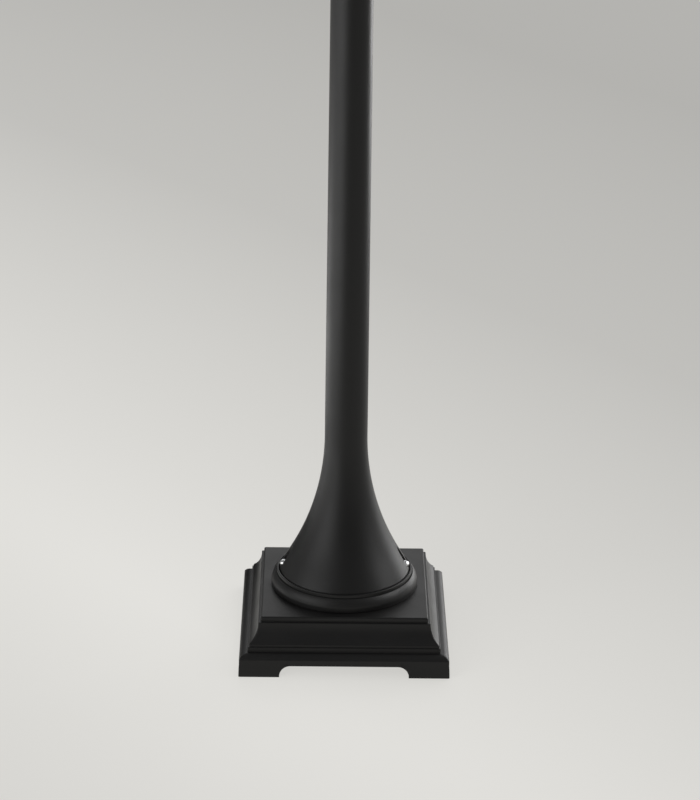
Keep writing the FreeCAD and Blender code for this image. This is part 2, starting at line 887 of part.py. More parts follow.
def top_frame():
    """Square frame on the corner bars, with glass stops below and an upstand for the roof."""
    body = square_ring(frame_half, frame_opening, cage_top, frame_top)
    upstand = square_ring(upstand_half, upstand_half - upstand_width, frame_top, frame_top + upstand_height)
    body = body.fuse(upstand)
    low = cage_top - glass_stop_height
    stop_outer = cage_half(low) - glass_inset - glass_thickness - seat_gap
    reach = frame_opening - bar_core
    stop = block(-reach, reach, -stop_outer, glass_stop_width - stop_outer, low, cage_top)
    for turn in (0, 90, 180, 270):
        body = body.fuse(spun(stop, turn))
    body = body.removeSplitter()
    for x, y in bar_points(cage_top):
        body = body.cut(countersink(m3_shank, m3_head, cage_top - overcut, frame_top, x, y))
    return one_solid(body)


def roof_outline(inset):
    """The right half of the roof's swept section, moved in by a wall."""
    cap_inset = roof_cap_wall if inset else 0
    outline = Outline(0, fascia_bottom - inset).line(fascia_outer - inset, fascia_bottom - inset)
    outline.line(fascia_outer - inset, fascia_top - inset / 2)
    outline.line(eave_half - inset, eave_top - inset)
    outline.arc(roof_cap_half - inset / 2, roof_shoulder - inset, -roof_hollow)
    outline.line(roof_cap_half - inset / 2, roof_top - cap_inset)
    return outline.line(0, roof_top - cap_inset)


def roof_shell():
    """Swept four-sided roof with a fascia, an inner seat rib and two clamping bosses."""
    envelope = moulded(roof_outline(0))
    shell = envelope.cut(moulded(roof_outline(roof_wall)))
    rib = square_ring(rib_outer, rib_inner, gasket_top, roof_shoulder)
    shell = shell.fuse(rib.common(envelope))
    boss_end = fascia_outer + thumb_boss_height
    for turn in (0, 180):
        shell = shell.fuse(spun(side_rod(thumb_boss_radius, fascia_inner, boss_end, thumb_level()), turn))
        hole = side_rod(thumb_shank + thread_gap, frame_half, boss_end + overcut, thumb_level())
        shell = shell.cut(spun(hole, turn))
    stud_hole = rod(finial_stud + hole_gap, roof_top - roof_cap_wall - overcut, roof_top + overcut)
    return one_solid(shell.cut(stud_hole))


def roof_gasket():
    """Rubber gasket under the roof's seat rib."""
    return one_solid(square_ring(rib_outer, rib_inner, frame_top, gasket_top))


def finial():
    """Turned ball finial with a threaded stud."""
    foot_top_level = roof_top + finial_foot_height
    neck_level = foot_top_level + finial_neck_height
    rise = math.sqrt(finial_ball_radius ** 2 - finial_neck_radius ** 2)
    ball_top = neck_level + 2 * rise
    tip = ball_top + finial_tip_height
    stud_low = roof_top - finial_stud_length
    swell = finial_ball_radius - finial_neck_radius
    outline = Outline(0, stud_low).line(finial_stud, stud_low).line(finial_stud, roof_top)
    outline.line(finial_foot_radius, roof_top)
    outline.arc(finial_neck_radius, foot_top_level, finial_foot_bulge)
    outline.line(finial_neck_radius, neck_level)
    outline.arc(finial_neck_radius, ball_top, swell)
    outline.arc(finial_tip_radius, tip, -finial_tip_hollow)
    return turned(outline.line(0, tip))


def finial_nut():
    """Nut on the finial's stud under the roof."""
    high = roof_top - roof_cap_wall
    nut = hexagon(finial_nut_flats, high - finial_nut_height, high)
    return one_solid(nut.cut(rod(finial_stud + thread_gap, high - finial_nut_height, high)))


def thumb_level():
    """The level of the thumb screws, halfway up the top frame's edge."""
    return cage_top + frame_thickness / 2


def thumb_screw():
    """Knurled thumb screw at +X whose tip bears on the top frame's edge."""
    seat = fascia_outer + thumb_boss_height + thumb_washer_thickness
    head_end = seat + thumb_head_length
    level = thumb_level()
    screw = side_rod(thumb_shank, frame_half + thumb_tip_gap, head_end, level)
    head = side_rod(thumb_head_radius, seat, head_end, level)
    for index in range(thumb_grip_count):
        turn = 2 * math.pi * index / thumb_grip_count
        y = thumb_head_radius * math.cos(turn)
        z = level + thumb_head_radius * math.sin(turn)
        start = FreeCAD.Vector(seat + overcut, y, z)
        head = head.cut(Part.makeCylinder(thumb_grip_depth, thumb_head_length, start, x_axis))
    return one_solid(screw.fuse(head).removeSplitter())


def thumb_washer():
    """Nylon washer under the thumb screw's head."""
    start = fascia_outer + thumb_boss_height
    end = start + thumb_washer_thickness
    level = thumb_level()
    hole = side_rod(thumb_shank + seat_gap, start - overcut, end + overcut, level)
    return one_solid(side_rod(thumb_washer_radius, start, end, level).cut(hole))


def lamp_holder():
    """Screw-cap lampholder on the pan's floor."""
    flange_top = pan_floor_top + holder_flange_height
    outline = Outline(0, pan_floor_top).line(holder_flange_radius, pan_floor_top)
    outline.line(holder_flange_radius, flange_top).line(holder_radius, flange_top)
    outline.line(holder_radius, holder_top).line(socket_radius, holder_top)
    outline.line(socket_radius, socket_floor).line(0, socket_floor)
    body = turned(outline)
    body = body.cut(rod(lead_radius + seat_gap, pan_floor_top - overcut, lead_top()))
    hole = m3_shank + hole_gap
    return one_solid(drilled(body, hole, pan_floor_top - overcut, flange_top + overcut, holder_screw_points))


def holder_screws():
    """Screws that hold the lampholder to the pan."""
    length = holder_flange_height + pan_floor - 2 * overcut
    screw = pan_screw(m3_shank, m3_head, m3_head_height, length)
    top = pan_floor_top + holder_flange_height
    return joined([placed(screw, x, y, top) for x, y in holder_screw_points])


def centre_contact():
    """Brass centre contact on the socket's floor."""
    return rod(contact_radius, socket_floor, socket_floor + contact_height)


def lamp_cap():
    """Screw cap of the lamp with rounded ridges and a contact tip."""
    tip_top = lamp_bottom + cap_tip_height
    valley = cap_radius - cap_ridge
    outline = Outline(0, lamp_bottom).line(cap_tip_radius, lamp_bottom).line(cap_tip_radius, tip_top)
    outline.line(valley, thread_bottom)
    for index in range(cap_ridge_count):
        outline.arc(valley, thread_bottom + (index + 1) * cap_pitch, cap_ridge)
    outline.line(cap_radius, thread_bottom + cap_ridge_count * cap_pitch + cap_ridge)
    return turned(outline.line(cap_radius, cap_top).line(0, cap_top))


def bulb_outline(inset):
    """The bulb's section from its neck to its crown, moved in by a wall."""
    turn = math.radians(bulb_join_angle)
    ball = bulb_radius - inset
    neck = bulb_neck_radius - inset
    join_x = ball * math.cos(turn)
    join_z = bulb_centre - ball * math.sin(turn)
    swell = ball * (1 - math.cos(turn / 2 + math.pi / 4))
    outline = Outline(0, cap_top).line(neck, cap_top)
    outline.arc(join_x, join_z, -bulb_neck_hollow)
    return outline.arc(0, bulb_centre + ball, swell)


def lamp_bulb():
    """Hollow glass bulb on the lamp's cap."""
    return one_solid(turned(bulb_outline(0)).cut(turned(bulb_outline(bulb_wall))))


def lamp_stem():
    """Glass stem with two spiders that carry the filaments."""
    low_spider = cap_top + spider_low
    high_spider = low_spider + spider_height + filament_length
    stem = rod(stem_foot_radius, cap_top, cap_top + stem_foot_height)
    stem = stem.fuse(rod(stem_radius, cap_top, high_spider + spider_height))
    for level in (low_spider, high_spider):
        stem = stem.fuse(rod(spider_radius, level, level + spider_height))
    return one_solid(stem.removeSplitter())


def lamp_filaments():
    """Upright light-emitting filaments between the spiders."""
    low = cap_top + spider_low + spider_height
    points = ring_points(filament_circle, filament_count, 45)
    return joined([rod(filament_radius, low, low + filament_length, x, y) for x, y in points])


def lamp_seal():
    """Rubber ring round the lamp's cap on the holder's mouth."""
    return pipe(holder_radius, cap_radius + seat_gap, holder_top, holder_top + lamp_seal_height)


pieces = {
    "plinth": plinth(),
    "collar_ring": collar_ring(),
    "collar_seal": collar_seal(),
    "collar_screws": collar_screws(),
    "post_foot": post_foot(),
    "post_foot_screws": post_foot_screws(),
    "joint_sleeve": joint_sleeve(),
    "pole": pole(),
    "gland_body": gland_body(),
    "gland_lock_nut": gland_lock_nut(),
    "gland_seal": gland_seal(),
    "gland_cap": gland_cap(),
    "terminal_block": terminal_block(),
    "terminal_screws": terminal_screws(),
    "terminal_fixing_screws": terminal_fixing_screws(),
    "earth_stud": earth_stud(),
    "earth_nut": earth_nut(),
    "inner_lead": inner_lead(),
    "neck_casting": neck_casting(),
    "neck_set_screws": neck_set_screws(),
    "neck_grommet": neck_grommet(),
    "lantern_pan": lantern_pan(),
    "pan_screws": pan_screws(),
    "lower_bar_screws": lower_bar_screws(),
    "upper_bar_screws": upper_bar_screws(),
    "top_frame": top_frame(),
    "roof_shell": roof_shell(),
    "roof_gasket": roof_gasket(),
    "finial": finial(),
    "finial_nut": finial_nut(),
    "lamp_holder": lamp_holder(),
    "holder_screws": holder_screws(),
    "centre_contact": centre_contact(),
    "lamp_cap": lamp_cap(),
    "lamp_bulb": lamp_bulb(),
    "lamp_stem": lamp_stem(),
    "lamp_filaments": lamp_filaments(),
    "lamp_seal": lamp_seal(),
}
for side, turn in (("right", 0), ("left", 180)):
    pieces["thumb_screw_" + side] = spun(thumb_screw(), turn)
    pieces["thumb_washer_" + side] = spun(thumb_washer(), turn)
for side, turn in (("front", 0), ("right", 90), ("back", 180), ("left", 270)):
    pieces["glass_" + side] = spun(glass_pane(), turn)
for corner, turn in (("back_right", 0), ("back_left", 90), ("front_left", 180), ("front_right", 270)):
    pieces["corner_bar_" + corner] = spun(corner_bar(), turn)

os.makedirs("parts", exist_ok=True)
for name, shape in pieces.items():
    shape.exportStep("parts/" + name + ".step")
    if not shape.isValid():
        print("not valid:", name)
print(len(pieces), "pieces, height", round(max(s.BoundBox.ZMax for s in pieces.values()), 1))
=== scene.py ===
import bmesh
import bpy
import math
import numpy as np
from mathutils import Matrix, Vector


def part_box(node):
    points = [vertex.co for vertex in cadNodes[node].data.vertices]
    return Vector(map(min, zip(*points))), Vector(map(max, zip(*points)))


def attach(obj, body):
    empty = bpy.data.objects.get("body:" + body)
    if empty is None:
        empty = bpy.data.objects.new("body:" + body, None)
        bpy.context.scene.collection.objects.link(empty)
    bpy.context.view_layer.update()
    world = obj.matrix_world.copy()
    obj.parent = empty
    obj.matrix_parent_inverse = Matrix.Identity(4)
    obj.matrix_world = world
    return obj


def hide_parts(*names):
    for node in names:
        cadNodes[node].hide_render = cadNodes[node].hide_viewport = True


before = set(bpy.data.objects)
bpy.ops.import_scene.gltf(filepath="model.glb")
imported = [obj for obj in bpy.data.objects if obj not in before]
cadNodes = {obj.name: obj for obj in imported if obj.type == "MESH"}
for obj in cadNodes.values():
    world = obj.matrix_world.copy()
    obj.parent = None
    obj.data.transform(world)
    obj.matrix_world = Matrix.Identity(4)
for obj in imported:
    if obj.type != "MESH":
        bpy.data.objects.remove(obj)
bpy.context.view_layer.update()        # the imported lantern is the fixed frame
mm = 0.001               # sizes below are in millimetres, meshes in metres
weld = 1e-6              # points closer than this become one, in metres
sliver = 1e-7            # edges shorter than this are dissolved, in metres
sharpTurn = 40           # edges that turn by more than this stay sharp, in degrees
tiny = 1e-9              # keeps a divisor off zero
hub = 1.0                # radius of the last ring of faces round an axis


# Where the CAD puts things, in millimetres

def lowOf(node):
    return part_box(node)[0].z / mm


def topOf(node):
    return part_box(node)[1].z / mm


def reachOf(node):
    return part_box(node)[1].x / mm


# Lines and arcs of a profile: x is the distance from the axis, z the height

def arcRun(start, end, bulge, steps):
    # points on the circle through both ends whose middle stands off the chord by the bulge,
    # to the right of travel: centre + radius * (cos(turn) * outward + sin(turn) * along)
    start, end = np.array(start, float), np.array(end, float)
    half = np.linalg.norm(end - start) / 2
    along = (end - start) / (2 * half)
    outward = np.array([along[1], -along[0]]) * np.sign(bulge)
    stand = abs(bulge)
    radius = (half ** 2 + stand ** 2) / (2 * stand)
    turn = np.linspace(-1, 1, steps + 1)[:, None] * 2 * math.atan2(stand, half)
    centre = (start + end) / 2 + outward * (stand - radius)
    return centre + radius * (np.cos(turn) * outward + np.sin(turn) * along)


easing = {"steps": 4, "room": 0.45, "strip": 0.3, "stripRoom": 0.088, "straight": 1e-4, "apart": 1e-6}


def easeCorners(points, eases):
    # each corner gives way to the arc that touches both its sides: its centre lies on the bisector at
    # ease / sin(half corner), and its arms are blended by sines so that they keep their length;
    # a narrow strip past each end of the arc keeps the flats beside it evenly shaded
    before = np.roll(points, 1, axis=0) - points
    after = np.roll(points, -1, axis=0) - points
    room = easing["room"] * np.minimum(np.linalg.norm(before, axis=1), np.linalg.norm(after, axis=1))
    before /= np.maximum(np.linalg.norm(before, axis=1, keepdims=True), tiny)
    after /= np.maximum(np.linalg.norm(after, axis=1, keepdims=True), tiny)
    half = np.arccos(np.clip((before * after).sum(axis=1), -1, 1)) / 2
    bent = half < math.pi / 2 - easing["straight"]
    half = np.where(bent, half, math.pi / 4)
    setback = np.where(bent, np.minimum(eases / np.tan(half), room), 0)[:, None]
    bisector = before + after
    bisector /= np.maximum(np.linalg.norm(bisector, axis=1, keepdims=True), tiny)
    centre = points + bisector * setback / np.cos(half)[:, None]
    first = (points + before * setback - centre)[:, None]
    last = (points + after * setback - centre)[:, None]
    sweep = (math.pi - 2 * half)[:, None, None]
    share = np.linspace(0, 1, easing["steps"] + 1)[None, :, None]
    arms = (np.sin((1 - share) * sweep) * first + np.sin(share * sweep) * last) / np.sin(sweep)
    strip = setback + np.minimum(easing["strip"] * setback, easing["stripRoom"] * room[:, None])
    ends = (points + before * strip)[:, None], (points + after * strip)[:, None]
    run = np.concatenate([ends[0], centre[:, None] + arms, ends[1]], axis=1).reshape(-1, 2)
    fresh = np.linalg.norm(np.diff(run, axis=0), axis=1) > easing["apart"]
    return run[np.concatenate([[True], fresh])]


def profile(start, *moves, steps=12):
    # a closed run of lines and arcs: a move is (x, z, ease) or (x, z, ease, bulge)
    runs, eases = [np.array([start[:2]], float)], [np.array([start[2]])]
    for x, z, ease, *bulge in moves:
        run = arcRun(runs[-1][-1], (x, z), bulge[0], steps)[1:] if bulge else np.array([[x, z]], float)
        runs.append(run)
        eases.append(np.append(np.zeros(len(run) - 1), ease))
    return easeCorners(np.vstack(runs), np.concatenate(eases))


# Skins: a grid of points and the quads between them

def skin(points):
    # cell (i, j) joins points (i, j), (i + 1, j), (i + 1, j + 1) and (i, j + 1), and both ways run round
    rows, columns = points.shape[:2]
    index = np.arange(rows * columns).reshape(rows, columns)
    index = np.vstack([index, index[:1]])
    index = np.hstack([index, index[:, :1]])
    cell = [index[:-1, :-1], index[1:, :-1], index[1:, 1:], index[:-1, 1:]]
    return points.reshape(-1, 3), np.stack(cell, axis=-1).reshape(-1, 4)


def moved(part, x=0.0, y=0.0, z=0.0):
    return part[0] + np.array([x, y, z]), part[1]


def spun(part, quarterTurns):
    # (x, y) goes to (x cos - y sin, x sin + y cos), by quarters of a turn
    turn = quarterTurns * math.pi / 2
    spin = np.array([[math.cos(turn), math.sin(turn), 0], [-math.sin(turn), math.cos(turn), 0], [0, 0, 1]])
    return part[0] @ spin, part[1]


def layDown(part, level):
    # the upright axis is laid along +X at a level: (x, y, z) goes to (z, y, level - x)
    points = part[0]
    return np.stack([points[:, 2], points[:, 1], level - points[:, 0]], axis=1), part[1]


def turned(section, columns):
    # a profile spun about the axis: (r cos t, r sin t, z)
    turn = np.linspace(0, 2 * math.pi, columns, endpoint=False)
    radius, level = section[:, :1], section[:, 1:]
    points = [radius * np.cos(turn), radius * np.sin(turn), level + 0 * turn]
    return skin(np.stack(points, axis=-1))


def squared(section, corner, steps=6):
    # a profile carried round a square whose corners are arcs: on each side the columns run through
    # half a corner, (a - c) + c cos t across and -(a - c) + c sin t along, then the other half
    half = section[:, :1]
    corner = np.minimum(corner, half)
    turn = np.linspace(0, math.pi / 4, steps + 1)
    turn = np.concatenate([turn - math.pi / 4, turn])
    end = np.repeat([-1, 1], steps + 1)
    across = half - corner + corner * np.cos(turn)
    along = end * (half - corner) + corner * np.sin(turn)
    return fourSides(across, along, section[:, 1:] + 0 * turn)


def fourSides(across, along, level):
    # one side of a square, and the same turned by a quarter, a half and three quarters
    sides = [(across, along), (-along, across), (-across, -along), (along, -across)]
    return skin(np.concatenate([np.stack([x, y, level], axis=-1) for x, y in sides], axis=1))


def sideTurns(fine, coarse):
    # columns in degrees, start to end by a step: they stand close together at both sides of a tube
    fine, coarse = np.radians(np.arange(*fine)), np.radians(np.arange(*coarse))
    return np.concatenate([fine, coarse, fine + math.pi, coarse + math.pi])


def softStep(inside, edge):
    # 1 inside and 0 outside, with a ramp as wide as the edge
    return np.clip(inside / edge + 0.5, 0, 1)


def smoothLess(a, b, blend):
    # the lesser of two values, rounded where they cross: min - h^2 * blend / 4
    near = np.maximum(blend - np.abs(a - b), 0) / blend
    return np.minimum(a, b) - near ** 2 * blend / 4


def addPiece(name, parts, slotName, body, replaced):
    # parts are put into one mesh, welded at seams and poles, faced outwards and smoothed
    starts = np.cumsum([0] + [len(points) for points, quads in parts[:-1]])
    mesh = bpy.data.meshes.new(name)
    mesh.from_pydata((np.vstack([points for points, quads in parts]) * mm).tolist(), [],
                     np.vstack([quads + start for (points, quads), start in zip(parts, starts)]).tolist())
    shell = bmesh.new()
    shell.from_mesh(mesh)
    bmesh.ops.remove_doubles(shell, verts=shell.verts, dist=weld)
    bmesh.ops.dissolve_degenerate(shell, edges=shell.edges, dist=sliver)
    bmesh.ops.holes_fill(shell, edges=[edge for edge in shell.edges if edge.is_boundary], sides=0)
    bmesh.ops.recalc_face_normals(shell, faces=shell.faces)
    shell.to_mesh(mesh)
    shell.free()
    dressPiece(name, mesh, slotName, body, replaced)


def dressPiece(name, mesh, slotName, body, replaced):
    mesh.shade_smooth()
    mesh.set_sharp_from_angle(angle=math.radians(sharpTurn))
    mesh.materials.append(finishes[slotName])
    piece = bpy.data.objects.new(name, mesh)
    bpy.context.scene.collection.objects.link(piece)
    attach(piece, body)
    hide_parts(*replaced)
    return piece


# Shader nodes, with values by socket

def addNode(tree, kind, values=None, operation=None):
    node = tree.nodes.new("ShaderNode" + kind)
    if operation:
        node.operation = operation
    for socket, value in (values or {}).items():
        node.inputs[socket].default_value = value
    return node


def wire(tree, *links):
    for source, target in links:
        tree.links.new(source, target)


def grain(tree, scale, detail, stretch=(1, 1, 1)):
    # noise on Object coordinates, scale in cells per metre
    place = addNode(tree, "TexCoord")
    mapping = addNode(tree, "Mapping", {"Scale": stretch})
    noise = addNode(tree, "TexNoise", {"Scale": scale, "Detail": detail})
    wire(tree, (place.outputs["Object"], mapping.inputs["Vector"]),
         (mapping.outputs["Vector"], noise.inputs["Vector"]))
    return noise.outputs["Fac"]


def spread(tree, source, low, high, start=0.3, end=0.7):
    # stretches a noise from start..end to low..high
    node = addNode(tree, "MapRange", {"From Min": start, "From Max": end, "To Min": low, "To Max": high})
    wire(tree, (source, node.inputs["Value"]))
    return node.outputs["Result"]


def tint(tree, source, low, high, start=0.3, end=0.7):
    # runs from one colour to another as the noise goes from start to end
    ramp = addNode(tree, "ValToRGB")
    for element, position, colour in zip(ramp.color_ramp.elements, (start, end), (low, high)):
        element.position = position
        element.color = (*colour, 1)
    wire(tree, (source, ramp.inputs["Fac"]))
    return ramp.outputs["Color"]


def relief(tree, height, strength, depth, under=None):
    # a bump of that depth in metres, on top of another where one is given
    bump = addNode(tree, "Bump", {"Strength": strength, "Distance": depth})
    wire(tree, (height, bump.inputs["Height"]))
    if under is not None:
        wire(tree, (under, bump.inputs["Normal"]))
    return bump.outputs["Normal"]


# Finishes: each kind has its own short function

def startFinish(name):
    material = bpy.data.materials.new(name)
    material.use_nodes = True
    tree = material.node_tree
    return material, tree, tree.nodes["Principled BSDF"]


def plainFinish(name, low, high, rough, metallic=0.0, scale=90, pit=900, depth=0.00005, stretch=(1, 1, 1)):
    # a mottled colour, an uneven polish and a fine relief, all from noise
    material, tree, shader = startFinish(name)
    cloud = grain(tree, scale, detail=3.0, stretch=stretch)
    fine = grain(tree, pit, detail=2.0, stretch=stretch)
    wire(tree, (tint(tree, cloud, low, high), shader.inputs["Base Color"]),
         (spread(tree, cloud, *rough), shader.inputs["Roughness"]),
         (relief(tree, fine, strength=0.35, depth=depth), shader.inputs["Normal"]))
    shader.inputs["Metallic"].default_value = metallic
    shader.inputs["IOR"].default_value = 1.5
    return material


def blackCoat():
    # satin powder coat: near-black, with an orange-peel swell and a fine grain on top of it
    coat = {"dark": (0.0047, 0.0045, 0.0044), "light": (0.0079, 0.0077, 0.0075), "rough": (0.40, 0.48),
            "peel": 420, "grain": 2600, "cloud": 22, "ior": 1.37}
    material, tree, shader = startFinish("blackCoat")
    cloud = grain(tree, coat["cloud"], detail=4.0)
    peel = grain(tree, coat["peel"], detail=1.0)
    fine = grain(tree, coat["grain"], detail=2.0)
    swell = relief(tree, peel, strength=0.10, depth=0.0003)
    wire(tree, (tint(tree, fine, coat["dark"], coat["light"]), shader.inputs["Base Color"]),
         (spread(tree, cloud, *coat["rough"]), shader.inputs["Roughness"]),
         (relief(tree, fine, strength=0.16, depth=0.0001, under=swell), shader.inputs["Normal"]))
    shader.inputs["IOR"].default_value = coat["ior"]
    return material


def clearGlass(name, colour, rough, wave):
    # clear glass whose faces swell a little, as rolled or blown glass does
    material, tree, shader = startFinish(name)
    swell = grain(tree, wave, detail=1.0)
    smear = grain(tree, scale=60, detail=3.0)
    wire(tree, (relief(tree, swell, strength=0.05, depth=0.0004), shader.inputs["Normal"]),
         (spread(tree, smear, low=0.0, high=rough, start=0.45, end=0.8), shader.inputs["Roughness"]))
    shader.inputs["Base Color"].default_value = (*colour, 1)
    shader.inputs["Transmission Weight"].default_value = 1.0
    shader.inputs["IOR"].default_value = 1.5
    return material


finishes = {
    "black_coat": blackCoat(),
    "bright_screw": plainFinish("brightScrew", (0.74, 0.75, 0.76), (0.88, 0.88, 0.88), (0.10, 0.20), 1.0,
                                scale=700, pit=4000, depth=0.00002),
    "zinc_steel": plainFinish("zincSteel", (0.45, 0.46, 0.47), (0.62, 0.63, 0.64), (0.28, 0.42), 1.0,
                              scale=260, pit=2500),
    "sleeve_metal": plainFinish("sleeveMetal", (0.52, 0.52, 0.53), (0.66, 0.66, 0.67), (0.30, 0.45), 1.0,
                                scale=120, pit=1800, stretch=(1, 1, 0.1)),
    "gland_plastic": plainFinish("glandPlastic", (0.020, 0.020, 0.021), (0.032, 0.032, 0.033), (0.42, 0.55),
                                 pit=1600),
    "black_rubber": plainFinish("blackRubber", (0.012, 0.012, 0.012), (0.022, 0.022, 0.022), (0.65, 0.8),
                                pit=1400, depth=0.0001),
    "block_plastic": plainFinish("blockPlastic", (0.62, 0.61, 0.57), (0.72, 0.71, 0.67), (0.38, 0.5),
                                 pit=1200),
    "brass": plainFinish("brass", (0.60, 0.42, 0.16), (0.78, 0.58, 0.25), (0.22, 0.36), 1.0,
                         scale=220, pit=2200),
    "lead_sheath": plainFinish("leadSheath", (0.10, 0.10, 0.10), (0.15, 0.15, 0.15), (0.5, 0.62), pit=1500),
    "pane_glass": clearGlass("paneGlass", (0.96, 0.985, 0.975), 0.04, 14),
    "holder_ceramic": plainFinish("holderCeramic", (0.74, 0.72, 0.67), (0.84, 0.82, 0.78), (0.16, 0.3),
                                  pit=700),
    "cap_metal": plainFinish("capMetal", (0.60, 0.60, 0.60), (0.76, 0.76, 0.76), (0.2, 0.34), 1.0,
                             scale=300, pit=2400),
    "bulb_glass": clearGlass("bulbGlass", (0.99, 0.99, 0.985), 0.02, 25),
    "filament": plainFinish("filament", (0.80, 0.55, 0.14), (0.90, 0.68, 0.25), (0.5, 0.65),
                            scale=500, pit=3000),
    "washer_nylon": plainFinish("washerNylon", (0.68, 0.67, 0.63), (0.78, 0.77, 0.73), (0.4, 0.52), pit=1500),
}
for node in cadNodes.values():   # CAD nodes that stay in sight take the same finishes
    for materialSlot in node.material_slots:
        materialSlot.material = finishes[materialSlot.material.name]
print("finishes:", len(finishes))


# Plinth: a moulded section carried round a square, on four bracket feet

plinth = {"half": reachOf("plinth"), "top": topOf("plinth"), "draft": 0.6, "apron": 17.4, "apronFlat": 5.0,
          "apronRows": (0.35, 0.7), "shoulder": (8.0, 4.9, 1.3), "fillet": 4.7, "quirk": (1.4, 2.2),
          "cove": (8.4, 19.0, 2.3), "ledge": 2.4, "slabRound": 1.4, "wall": 6.3, "slab": 6.0, "foot": 38.7,
          "footColumn": 12.0, "arch": 11.5, "archRound": 10.5, "ease": 0.7, "apronEase": 2.4, "corner": 1.1,
          "soleEase": 0.6}


def plinthSection(p):
    # the moulding from the apron's top to the middle of the slab, then the hollow back down
    apron = p["half"] - p["draft"]
    fillet = apron - p["shoulder"][0]
    quirk = fillet - p["quirk"][0]
    head = quirk - p["cove"][0]
    slab = head - p["ledge"]
    shoulderTop = p["apron"] + p["shoulder"][1]
    filletTop = shoulderTop + p["fillet"]
    quirkTop = filletTop + p["quirk"][1]
    coveTop = quirkTop + p["cove"][1]
    under = p["top"] - p["slab"]
    e = p["ease"]
    section = profile((apron, p["apron"] - p["apronFlat"], 0), (apron, p["apron"], p["apronEase"]),
                      (fillet, shoulderTop, e, p["shoulder"][2]), (fillet, filletTop, e),
                      (quirk, filletTop, e / 2), (quirk, quirkTop, e),
                      (head, coveTop, e, -p["cove"][2]), (slab, coveTop, e / 2),
                      (slab, p["top"], p["slabRound"]), (hub, p["top"], 0), (0, p["top"], 0))
    hollow = np.array([(0, under), (slab - p["wall"], under), (apron - p["wall"], p["apron"] - p["draft"])])
    return section, hollow


def plinthSkin(p, cornerSteps=6, archSteps=10, soleSteps=3):
    # one side at a time: columns run through half a corner, along the side and through half a corner;
    # the lowest rows follow the arch, z = straight + R sin t at y = inner + R cos t, between the feet
    opening = p["half"] - p["foot"]
    inner = opening - p["archRound"]
    straight = p["arch"] - p["archRound"]
    turn = np.linspace(0, math.pi / 2, archSteps + 1)
    along = np.concatenate([[opening + p["footColumn"], opening], inner + p["archRound"] * np.cos(turn),
                            [inner / 2, 0]])
    sole = np.concatenate([[0, 0], straight + p["archRound"] * np.sin(turn), [p["arch"], p["arch"]]])
    along = np.concatenate([-along, along[-2::-1]])
    sole = np.concatenate([sole, sole[-2::-1]])
    cornerTurn = np.linspace(0, math.pi / 4, cornerSteps + 1)
    blank = np.zeros(cornerSteps + 1)
    end = np.concatenate([blank - 1, 0 * along, blank + 1])
    turn = np.concatenate([cornerTurn - math.pi / 4, 0 * along, cornerTurn])
    along = np.concatenate([blank, along, blank])
    sole = np.concatenate([blank, sole, blank])

    section, hollow = plinthSection(p)
    slope = p["draft"] / p["apron"]
    lift = np.linspace(0, math.pi / 2, soleSteps + 1)[:, None]
    soleRows = sole + p["soleEase"] * (1 - np.cos(lift))
    soleHalf = p["half"] - slope * soleRows - p["soleEase"] * (1 - np.sin(lift))
    share = np.array(p["apronRows"])[:, None]
    apronRows = soleRows[-1:] * (1 - share) + (p["apron"] - p["apronFlat"]) * share
    fixed = np.vstack([section, hollow])
    wide = 0 * along
    innerHalf = hollow[-1, 0]
    half = np.vstack([soleHalf, p["half"] - slope * apronRows, fixed[:, :1] + wide, innerHalf + wide[None]])
    level = np.vstack([soleRows, apronRows, fixed[:, 1:] + wide, sole[None]])

    corner = np.minimum(p["corner"], half)
    across = np.where(end == 0, half, half - corner + corner * np.cos(turn))
    room = half - corner
    side = np.where(end == 0, np.clip(along, -room, room), end * room + corner * np.sin(turn))
    return fourSides(across, side, level)


addPiece("plinth_casting", [plinthSkin(plinth)], "black_coat", "post", ["plinth"])

# Bosses under the slab: tubes for the ground bolts, blind ones for the foot screws
boss = {"under": plinth["top"] - plinth["slab"], "boltCircle": 40.0, "boltRadius": 10.0, "boltHole": 4.5,
        "boltDepth": 12.0, "screwCircle": reachOf("post_foot") - 4.0, "screwRadius": 6.0, "screwDepth": 10.0,
        "sink": 0.5, "ease": 0.6}


def bossParts(b):
    low, high = b["under"] - b["boltDepth"], b["under"] + b["sink"]
    tube = turned(profile((b["boltHole"], low, b["ease"]), (b["boltRadius"], low, b["ease"]),
                          (b["boltRadius"], high, 0), (b["boltHole"], high, 0)), columns=48)
    low = b["under"] - b["screwDepth"]
    stub = turned(profile((0, low, 0), (b["screwRadius"], low, b["ease"]),
                          (b["screwRadius"], high, 0), (0, high, 0)), columns=40)
    bolt = b["boltCircle"] / math.sqrt(2)
    parts = [moved(tube, x, y) for x in (-bolt, bolt) for y in (-bolt, bolt)]
    return parts + [moved(stub, x) for x in (-b["screwCircle"], b["screwCircle"])]


addPiece("plinth_bosses", bossParts(boss), "black_coat", "post", ["plinth"])

# Collar: bulging ring with a thin lip, and a shelf inside that carries the foot
collar = {"outer": reachOf("collar_ring"), "low": lowOf("collar_ring"), "top": topOf("collar_ring"),
          "shelf": lowOf("post_foot"), "wall": 7.1, "foot": 4.6, "footEase": 1.5, "bulge": 0.8, "lip": 1.9,
          "lipHeight": 2.8, "lipRound": 0.6, "rimEase": 0.35, "quirk": (0.9, 1.1), "quirkEase": (0.2, 0.1),
          "shelfWidth": 14.4, "shelfEase": 0.3, "ease": 0.5}


